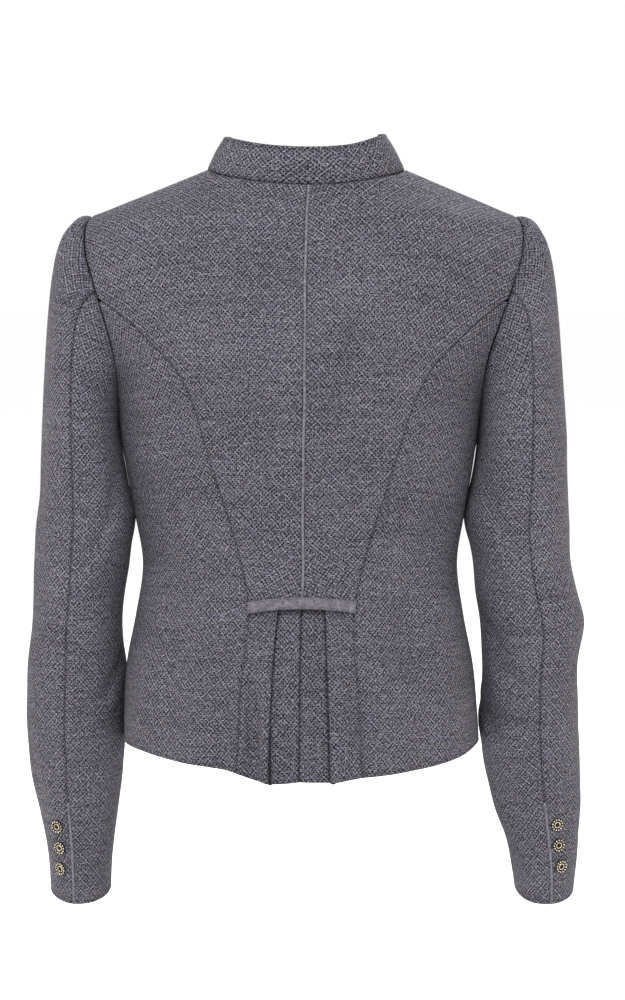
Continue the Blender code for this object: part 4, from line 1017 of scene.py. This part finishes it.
def inlay_piece(side, mat):
    """Half the strip at the back of the pleat."""
    k = K[(K > .4) & (K < TAB_K + 9)]
    z = plain(1, side, k, np.full(len(k), .1))[:, 2]
    radius = column(PLEAT, "radius", z)
    edge = column(PLEAT, "x", z) + radius + 7
    far = np.array([part_at(1, side, kk, lambda zz, e=e: 0 * zz + e)[0] for kk, e in zip(k, edge)])
    s, d, run = arcs(1, side, k, 0 * far, far)
    n = torso_normal(1, side, np.repeat(k, s.shape[1]), s.ravel()).reshape(s.shape + (3,))
    p = torso(1, side, np.repeat(k, s.shape[1]), s.ravel()).reshape(s.shape + (3,))
    up = np.repeat(k[:, None], s.shape[1], 1)
    puff = .9 * np.sin(np.clip(d / np.maximum(edge[:, None] - 7, 1), 0, 1) * math.pi) * smooth((TAB_K - up) / 90)
    out = seam_dip(d, 1.3) + hem_edge(up - .4) + puff - (2 * radius - 1.0)[:, None]
    p = p + n * out[..., None]
    uv = np.stack([side * d + 6, up], -1)
    mouth = (edge - 7 - radius)[:, None]
    p[..., 2] += 4.5 * smooth((d - mouth - 1) / 4) * np.exp(-up / 6)
    # painted shade: the strip darkens where it passes under each fold, wider on the right half toward the hem, and at
    # its centre seam, hem and under the tab
    soft = .9 if side > 0 else 1.0 + 2.0 * smooth((TAB_K - up) / 120)
    dark = 1.0 * smooth((d - mouth + soft) / (soft + .3)) + shut(d, .62, .8) + hem_shade(up - .4) + tab_shade(p)
    obj = surface(f"cloth_inlay_{word(side)}", [(p, uv, dark)], [mat], flip=side > 0, nodes=[f"pleat_inlay_{word(side)}"])
    return obj, [uv]


def side_piece(face, side, mat):
    k = K[K < float(arm_level(PRINCESS_ANGLE)) + .01]
    s0 = part_at(face, side, k, princess(face))
    s0 = np.minimum(s0, .9995)
    s, d, run = arcs(face, side, k, s0, np.ones(len(k)))
    up = np.repeat(k[:, None], s.shape[1], 1)
    armhole_part = smooth((up - ARM_K) / 4)
    extra = seam_dip(d) + seam_dip(run[:, None] - d) * (1 - .1 * armhole_part) + hem_edge(up)
    p, _ = lay(face, side, k, s, extra)
    far = run[:, None] - d
    # painted shade: princess seam, hem, side seam, armhole, and the flank where the sleeve rests against it
    dark = shut(d, .30, .9) * above(p[:, :1, 2].ravel()) + hem_shade(up) + shut(far, .34, 1.1) * (1 - armhole_part) + shut(far, 1.0, 1.3) * armhole_part * arm_deep(p)
    dark = dark + flank_shade(far, p[..., 2]) * (1 - armhole_part)
    mid = run[:, None] / 2
    uv = np.stack([side * (d - mid) + 3, up], -1)
    obj = surface(f"cloth_{'back' if face > 0 else 'front'}_side_{word(side)}", [(p, uv, dark)], [mat], flip=(side > 0) == (face > 0), flat=True,
                  nodes=[f"{'back' if face > 0 else 'front'}_side_{word(side)}"])
    return obj, [uv]


def front_piece(side, mat):
    """Right front over left, with the lap past the centre."""
    k = K
    seam = part_at(-1, side, k, princess(-1))
    w = width(-1, k, np.full(len(k), .002))
    s, d, run = arcs(-1, side, k, 0 * seam, seam, first=False)
    lapped = np.array([-LAP, -LAP + .5, -LAP + 1.0, -LAP + 1.6, -LAP + 2.4, -LAP + 3.4, -LAP + 4.6, -LAP + 6, -7.5, -5, -2.5])
    lap_s = lapped[None, :] / w[:, None]
    col = np.concatenate([lap_s, s], 1)
    x = np.concatenate([np.repeat(lapped[None, :], len(k), 0), d], 1)
    kk = np.repeat(k[:, None], col.shape[1], 1)
    c, kf = col.ravel(), kk.ravel()
    p, n = np.empty((len(c), 3)), np.empty((len(c), 3))
    for own, use in ((side, c >= 0), (-side, c < 0)):
        p[use] = torso(-1, own, kf[use], np.abs(c[use]))
        n[use] = torso_normal(-1, own, kf[use], np.abs(c[use]))
    extra = seam_dip(run[:, None] - x) + hem_edge(kk) + seam_dip(TOP_K - kk)
    if side > 0:
        extra = extra - (CLOTH + .5) * smooth((25 - x) / 7)
    else:
        extra = extra + hem_edge(x + LAP, 5.5)
    rel = torso_relief(-1, side, p, n)
    p = p + n * (rel + extra.ravel())[:, None]
    p = p.reshape(col.shape + (3,))
    uv = np.stack([side * x, kk], -1)
    # painted shade: princess seam, armhole, hem and neck; the right front's edge, and the left front where the right
    # front laps over it
    high = smooth((kk - PRINCESS_TOP) / 2)
    dark = shut(run[:, None] - x, .30, .9) * (1 - high) + shut(run[:, None] - x, .9, 1.1) * high * arm_deep(p) + hem_shade(kk) + shut(TOP_K - kk, .55, 1.3)
    if side < 0:
        dark = dark + hem_shade(x + LAP, 5.5)
    else:
        dark = dark + .7 * smooth((LAP + 1.2 - x) / 2.4)
    obj = surface(f"cloth_front_{word(side)}", [(p, uv, dark)], [mat], flip=side < 0, nodes=[f"front_{word(side)}"])
    return obj, [uv]


# ------------------------------------------------------------- sleeve pieces
def sleeve_w(side):
    end = SLEEVES[side]["k"][-1]
    head = np.concatenate([[-1, -.996, -.99, -.982, -.972, -.96, -.945, -.925, -.90], np.arange(-.875, -.02, .025), [0]])
    return np.concatenate([head, np.arange(3.2, end - 8, 3.2), (end - EDGE[::-1])])


def sleeve_cloth(part, side, mat):
    a0, a1 = (FRONT_SEAM_ANGLE - 360, BACK_SEAM_ANGLE) if part == "top" else (BACK_SEAM_ANGLE, FRONT_SEAM_ANGLE)
    w = sleeve_w(side)
    end = w[-1]
    fine = np.linspace(a0, a1, 73)
    ww = np.repeat(w[:, None], 73, 1)
    p = sleeve(side, ww.ravel(), np.tile(fine, len(w))).reshape(len(w), 73, 3)
    run = np.concatenate([np.zeros((len(w), 1)), np.cumsum(np.linalg.norm(np.diff(p, axis=1), axis=2), axis=1)], 1)
    d = spaced(run[:, -1])
    ang = np.array([np.interp(d[i], run[i], fine) for i in range(len(w))])
    wf, af = np.repeat(w[:, None], ang.shape[1], 1).ravel(), ang.ravel()
    p = sleeve(side, wf, af)
    n = sleeve_normal(side, wf, af)
    shape = ang.shape
    total = run[:, -1:]
    grid0 = p.reshape(shape + (3,))
    down = np.concatenate([np.zeros((1, shape[1])), np.cumsum(np.linalg.norm(np.diff(grid0, axis=0), axis=2), axis=0)], 0)
    extra = seam_dip(d, .8) + seam_dip(total - d, .8) + hem_edge(down[-1:] - down)
    # the head stands up from the armhole seam, most at the shoulder
    proud = np.clip(np.cos(np.radians(ang)) + .35, 0, 1)
    extra = extra + proud * 1.1 * (1 - np.exp(-down / 2.4)) * np.exp(-((down / 60) ** 2))
    fade = smooth(down / 3.0)
    p = p + n * (sleeve_relief(side, wf, af) * fade.ravel() + extra.ravel() * smooth(down / 1.5).ravel())[:, None]
    p = p.reshape(shape + (3,))
    ww = np.repeat(w[:, None], shape[1], 1)
    # painted shade: seams, cuff, armhole seam and the band below it, and the inner side where the sleeve rests against
    # the torso
    inner = np.exp(-((((ang % 360) - 180) / 24) ** 2))
    dark = shut(d, .42, 1.1) + shut(total - d, .42, 1.1) + hem_shade(down[-1:] - down) + shut(down, 1.0, 1.4) * arm_deep(p) + .16 * np.exp(-down / 7)
    dark = dark + inner * (.7 * (1 - smooth((ww - 66) / 30)) * smooth((ww + .2) / .2) + .4 * smooth((ww - 198) / 20) * smooth((292 - ww) / 20))
    zero = int(np.argmax(w >= 0))
    mid = (d - total / 2)
    uv = np.stack([side * mid, (down[zero][None, :] - down)], -1)
    name = f"sleeve_{part}_{word(side)}"
    obj = surface("cloth_" + name, [(p, uv, dark)], [mat], flip=side > 0, flat=True, nodes=[name])
    return obj, [uv]


# ------------------------------------------------------------- collar and trim
def collar_cloth(mat):
    u = np.linspace(-.992, .992, 230)
    h = np.array([0, .015, .03, .05, .08, .12, .18, .25, .33, .41, .5, .59, .67, .74, .79, .83, .86, .89, .915, .94, .96, .975, .988, 1.0])
    uu, hh = np.meshgrid(u, h)
    p = collar(uu.ravel(), hh.ravel()).reshape(uu.shape + (3,))
    across_ = np.gradient(p, axis=1)
    up = np.gradient(p, axis=0)
    n = unit(np.cross(up, across_))
    sign = np.sign(((p - p.mean((0, 1))) * n)[..., :2].sum(-1).mean())
    n = n * (sign if sign else 1)
    high = hh * COLLAR_HEIGHT
    extra = hem_edge((1 - hh) * COLLAR_HEIGHT, 2.9) + seam_dip(high, .7)
    ends = (.992 - np.abs(uu)) * 190
    extra = extra - .8 * np.clip(1 - ends / 1.6, 0, 1) ** 2
    extra = extra + .5 * hills(uu * 190, high, 5) * .5
    p = p + n * extra[..., None]
    p[..., 2] -= 1.7 * (1 - hh)
    uv = np.stack([uu * 190, high], -1)
    # painted shade: along the top edge and its stitching, and at the neck seam, fading up from it
    dark = hem_shade((1 - hh) * COLLAR_HEIGHT, 2.9) + shut(high, .75, 1.5) + .22 * np.exp(-high / 4.5)
    obj = surface("cloth_collar", [(p, uv, dark)], [mat], wall=COLLAR_WALL - .2, flip=True, nodes=["collar"])
    return obj, [uv]


def on_back(x, z, lift):
    """Points over the relief of the back panels at x, z, moved out by lift."""
    out, nor = np.empty((len(x), 3)), np.empty((len(x), 3))
    for side, use in ((1, x >= 0), (-1, x < 0)):
        if use.any():
            k, s = place(1, side, np.abs(x[use]), z[use])
            p, n = torso(1, side, k, s), torso_normal(1, side, k, s)
            out[use] = p + n * (torso_relief(1, side, p, n) + lift[use])[:, None]
            nor[use] = n
    return out, nor


def tab_cloth(mat):
    """The arched tab over the top of the pleat, stitched along both edges."""
    x = np.concatenate([-TAB_HALF + np.array([0, .3, .7, 1.2, 1.8, 2.6]), np.linspace(-TAB_HALF + 3.6, TAB_HALF - 3.6, 60), TAB_HALF - np.array([2.6, 1.8, 1.2, .7, .3, 0])])
    v = np.array([0, .025, .06, .10, .14, .18, .23, .30, .40, .50, .60, .70, .77, .82, .86, .90, .94, .975, 1.0])
    xx, vv = np.meshgrid(x, v)
    zz = TAB_Z + TAB_HIGH * (vv - .5) + TAB_ARCH * (.5 - (xx / TAB_HALF) ** 2)
    edge = np.minimum(np.minimum(vv, 1 - vv) * TAB_HIGH, TAB_HALF - np.abs(xx))
    roundness = np.sqrt(np.clip(1 - (1 - np.clip(edge / 1.4, 0, 1)) ** 2, 0, 1))
    lift = .35 + 1.75 * roundness - .32 * np.exp(-(((edge - 1.6) / .45) ** 2)) + .10 * np.sin(xx * 1.1) * roundness
    p, n = on_back(xx.ravel(), zz.ravel(), lift.ravel())
    p = p.reshape(xx.shape + (3,))
    uv = np.stack([xx, zz], -1)
    # painted shade: along the stitch line, and deeper at the edges of the lower half
    dark = .26 * np.exp(-(((edge - 1.6) / .5) ** 2)) + .4 * np.exp(-((edge / .4) ** 2)) * (vv < .5)
    obj = surface("felt_tab", [(p, uv, dark)], [mat], wall=.9, flip=True, nodes=["back_tab"])
    return obj, [uv]


def cord_strip(name, centre, normal, along, mat, node, half=1.05, high=1.15):
    """A narrow half-round piping along a line of points."""
    across_ = unit(np.cross(along, normal))
    t = np.linspace(-1, 1, 9)
    grid = np.stack([centre + across_ * (half * a) + normal * (high * (1 - abs(a) ** 2.2) - .55) for a in t], 1)
    run = np.concatenate([[0], np.cumsum(np.linalg.norm(np.diff(centre, axis=0), axis=1))])
    uv = np.stack([np.repeat((t * 2.2)[None, :], len(centre), 0), np.repeat(run[:, None], len(t), 1)], -1)
    return surface(name, [(grid, uv)], [mat], wall=.7, flip=True, nodes=[node])


def back_cord(mat):
    k = K[(K > TAB_K + 7) & (K < TOP_K - 1.2)]
    a, b = torso(1, 1, k, np.zeros(len(k)) + .004), torso(1, -1, k, np.zeros(len(k)) + .004)
    n = unit(torso_normal(1, 1, k, np.full(len(k), .01)) + torso_normal(1, -1, k, np.full(len(k), .01)))
    c = (a + b) / 2
    c = c + n * torso_relief(1, 1, c, n)[:, None]
    c[:, 0] += .35 * np.sin(k / 31.0) + .2 * np.sin(k / 11.0)
    return cord_strip("piping_back", c, n, unit(np.gradient(c, axis=0)), mat, "back_piping", .62, .95)


def cuff_cord(side, mat):
    end = SLEEVES[side]["k"][-1]
    w = np.linspace(end - 99.5, end - .2, 70)
    a = np.full(len(w), float(BACK_SEAM_ANGLE))
    n = sleeve_normal(side, w, a)
    c = sleeve(side, w, a) + n * (sleeve_relief(side, w, a))[:, None]
    return cord_strip(f"piping_cuff_{word(side)}", c, n, unit(np.gradient(c, axis=0)), mat, f"cuff_piping_{word(side)}", .62, .95)


# -------------------------------------------------------------------- buttons
def turned(bm, profile, steps, slot):
    """A lathed body from (radius, height) points."""
    rings = []
    for r, z in profile:
        if r < 1e-6:
            rings.append([bm.verts.new((0, 0, z))])
        else:
            rings.append([bm.verts.new((r * math.cos(t), r * math.sin(t), z)) for t in np.linspace(0, 2 * math.pi, steps, endpoint=False)])
    for a, b in zip(rings, rings[1:]):
        for i in range(steps):
            j = (i + 1) % steps
            vs = [a[i % len(a)], a[j % len(a)], b[j % len(b)], b[i % len(b)]]
            vs = [v for n, v in enumerate(vs) if v not in vs[:n]]
            if len(vs) > 2:
                f = bm.faces.new(vs)
                f.smooth, f.material_index = True, slot


def ball(bm, x, y, z, r, flat, slot):
    rows, steps = 6, 10
    rings = []
    for i in range(rows + 1):
        a = math.pi * i / rows
        rr = r * math.sin(a)
        zz = z + r * flat * math.cos(a)
        rings.append([bm.verts.new((x, y, zz))] if rr < 1e-9 else
                     [bm.verts.new((x + rr * math.cos(t), y + rr * math.sin(t), zz)) for t in np.linspace(0, 2 * math.pi, steps, endpoint=False)])
    for a, b in zip(rings, rings[1:]):
        for i in range(steps):
            j = (i + 1) % steps
            vs = [b[i % len(b)], b[j % len(b)], a[j % len(a)], a[i % len(a)]]
            vs = [v for n, v in enumerate(vs) if v not in vs[:n]]
            if len(vs) > 2:
                f = bm.faces.new(vs)
                f.smooth, f.material_index = True, slot


def button_mesh(name, radius, beads):
    """A cast button: beads round a channel, an inner ring, an eye; base, channel and eye are near-black as painted
    shade in the recesses, and the base's rim past the beads is a painted shadow of the button on the cloth.
    """
    bm = bmesh.new()
    r = radius / 1000
    turned(bm, [(0, .02 * r), (.95 * r, .02 * r), (1.03 * r, .07 * r), (1.04 * r, .13 * r), (.98 * r, .19 * r), (.72 * r, .20 * r), (.60 * r, .15 * r),
                (.50 * r, .17 * r), (.49 * r, .22 * r)], 48, 1)
    turned(bm, [(.50 * r, .16 * r), (.495 * r, .25 * r), (.46 * r, .30 * r), (.42 * r, .30 * r), (.39 * r, .26 * r), (.38 * r, .20 * r)], 40, 0)
    turned(bm, [(.37 * r, .24 * r), (.24 * r, .16 * r), (0, .14 * r)], 32, 1)
    ball(bm, 0, 0, .15 * r, .10 * r, .7, 1)
    for i in range(beads):
        t = 2 * math.pi * (i + .5) / beads
        ball(bm, .84 * r * math.cos(t), .84 * r * math.sin(t), .26 * r, .125 * r, .95, 0)
    bmesh.ops.recalc_face_normals(bm, faces=bm.faces)
    mesh = bpy.data.meshes.new(name)
    bm.to_mesh(mesh)
    bm.free()
    return mesh


def sew_on(name, at, normal, radius, turn, mats, node, beads=12):
    mesh = button_mesh(name, radius, beads)
    z = Vector(normal).normalized()
    basis = z.to_track_quat("Z", "Y").to_matrix().to_4x4()
    mesh.transform(Matrix.Translation(Vector(at) / 1000) @ basis @ Matrix.Rotation(turn, 4, "Z"))
    obj = bpy.data.objects.new(name, mesh)
    bpy.context.scene.collection.objects.link(obj)
    for m in mats:
        mesh.materials.append(m)
    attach(obj, "root")
    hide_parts(node)
    return obj


CUFF_BUTTONS = {
    1: table("up angle", (75, 64), (54, 63), (33, 60)),
    -1: table("up angle", (77, 69), (57, 69), (36, 66)),
}


# ---------------------------------------------------------------- light, view
def area_light(name, at, size, watts, colour=(1, 1, 1), to=(0, 0, -.3)):
    data = bpy.data.lights.new(name, "AREA")
    data.shape, data.size, data.energy, data.color = "DISK", size, watts, colour
    obj = bpy.data.objects.new(name, data)
    bpy.context.scene.collection.objects.link(obj)
    obj.location = at
    obj.rotation_euler = (Vector(to) - Vector(at)).to_track_quat("-Z", "Y").to_euler()
    return obj


def studio():
    scene = bpy.context.scene
    world = bpy.data.worlds.new("soft_white")
    scene.world = world
    world.use_nodes = True
    back = world.node_tree.nodes.get("Background") or world.node_tree.nodes.new("ShaderNodeBackground")
    back.inputs[0].default_value = (1, 1, 1, 1)
    back.inputs[1].default_value = 1.0
    area_light("key", (.5, 2.2, 2.6), 1.2, 120, (1.0, .99, .985))
    area_light("front_fill", (-1.0, -2.4, 2.2), 1.5, 90)
    area_light("warm_left", (2.2, .1, -.35), 1.0, 12, (1.0, .80, .62))
    area_light("warm_right", (-2.2, .1, -.35), 1.0, 12, (1.0, .80, .62))
    mesh = bpy.data.meshes.new("floor")
    mesh.from_pydata([(-60, -60, -.735), (60, -60, -.735), (60, 60, -.735), (-60, 60, -.735)], [], [(0, 1, 2, 3)])
    floor = bpy.data.objects.new("floor", mesh)
    scene.collection.objects.link(floor)
    n = Nodes("pale_floor")
    spot = n.noise(n.put("TexCoord").outputs["Object"], 3.0, 2.0)
    n.set(n.shader.inputs["Base Color"], n.ramp(spot, (.3, (.985, .985, .985)), (.7, (.995, .995, .995))))
    n.shader.inputs["Roughness"].default_value = .95
    mesh.materials.append(n.mat)
    cam = bpy.data.cameras.new("photo_view")
    cam.lens, cam.sensor_width, cam.sensor_fit = 136.0, 36.0, "AUTO"
    cam.clip_start, cam.clip_end = .1, 100
    obj = bpy.data.objects.new("photo_view", cam)
    scene.collection.objects.link(obj)
    obj.location = EYE / 1000
    obj.rotation_euler = Vector(LOOK).to_track_quat("-Z", "Y").to_euler()
    scene.camera = obj
    scene.view_settings.view_transform = "Standard"
    scene.view_settings.look = "None"
    scene.view_settings.exposure = 0
    scene.view_settings.gamma = 1


def main():
    trim = felt("trim", 1.0, (140, 136, 148))
    cord = back_cord(trim)
    tab, tab_uv = tab_cloth(felt("tab", 2.0))
    cut(tab, tab_uv)
    for side in (1, -1):
        obj, uv, _ = back_piece(side, wool("back_" + word(side), 1 + side))
        cut(obj, uv)
        obj, uv = inlay_piece(side, wool("inlay_" + word(side), 5 + side, .98))
        cut(obj, uv)
        for face in (1, -1):
            obj, uv = side_piece(face, side, wool(("back_side_" if face > 0 else "front_side_") + word(side), 9 + side + 3 * face, .985))
            cut(obj, uv)
        obj, uv = front_piece(side, wool("front_" + word(side), 20 + side))
        cut(obj, uv)
        piping = cuff_cord(side, trim)
        for part in ("top", "under"):
            obj, uv = sleeve_cloth(part, side, wool(f"sleeve_{part}_{word(side)}", 30 + side + (5 if part == "top" else 0), 1.05))
            cut(obj, uv)
    obj, uv = collar_cloth(wool("collar", 44, 1.0))
    cut(obj, uv)
    bright, dark = metal("bright", 3.0), metal("dark", 5.0, False)
    for side in (1, -1):
        t = CUFF_BUTTONS[side]
        for i in range(3):
            w, a = np.array([SLEEVES[side]["k"][-1] - t["up"][i]]), np.array([t["angle"][i]])
            n = sleeve_normal(side, w, a)[0]
            at = sleeve(side, w, a)[0] + n * (sleeve_relief(side, w, a)[0] + .25)
            sew_on(f"button_cuff_{word(side)}_{i + 1}", at, n, 5.9, .3 * i + side, [bright, dark], f"cuff_button_{word(side)}_{i + 1}")
    for i in range(7):
        z = -86.0 - 47.5 * i
        k, s = place(-1, 1, 0.0, z)
        p, n = torso(-1, 1, k, s * 0), torso_normal(-1, 1, k, s * 0)
        p = p + n * (torso_relief(-1, 1, p, n) + .55)[:, None]
        sew_on(f"button_front_{i + 1}", p[0], n[0], 7.5, .35 * i, [bright, dark], f"front_button_{i + 1}", 14)
    studio()


main()
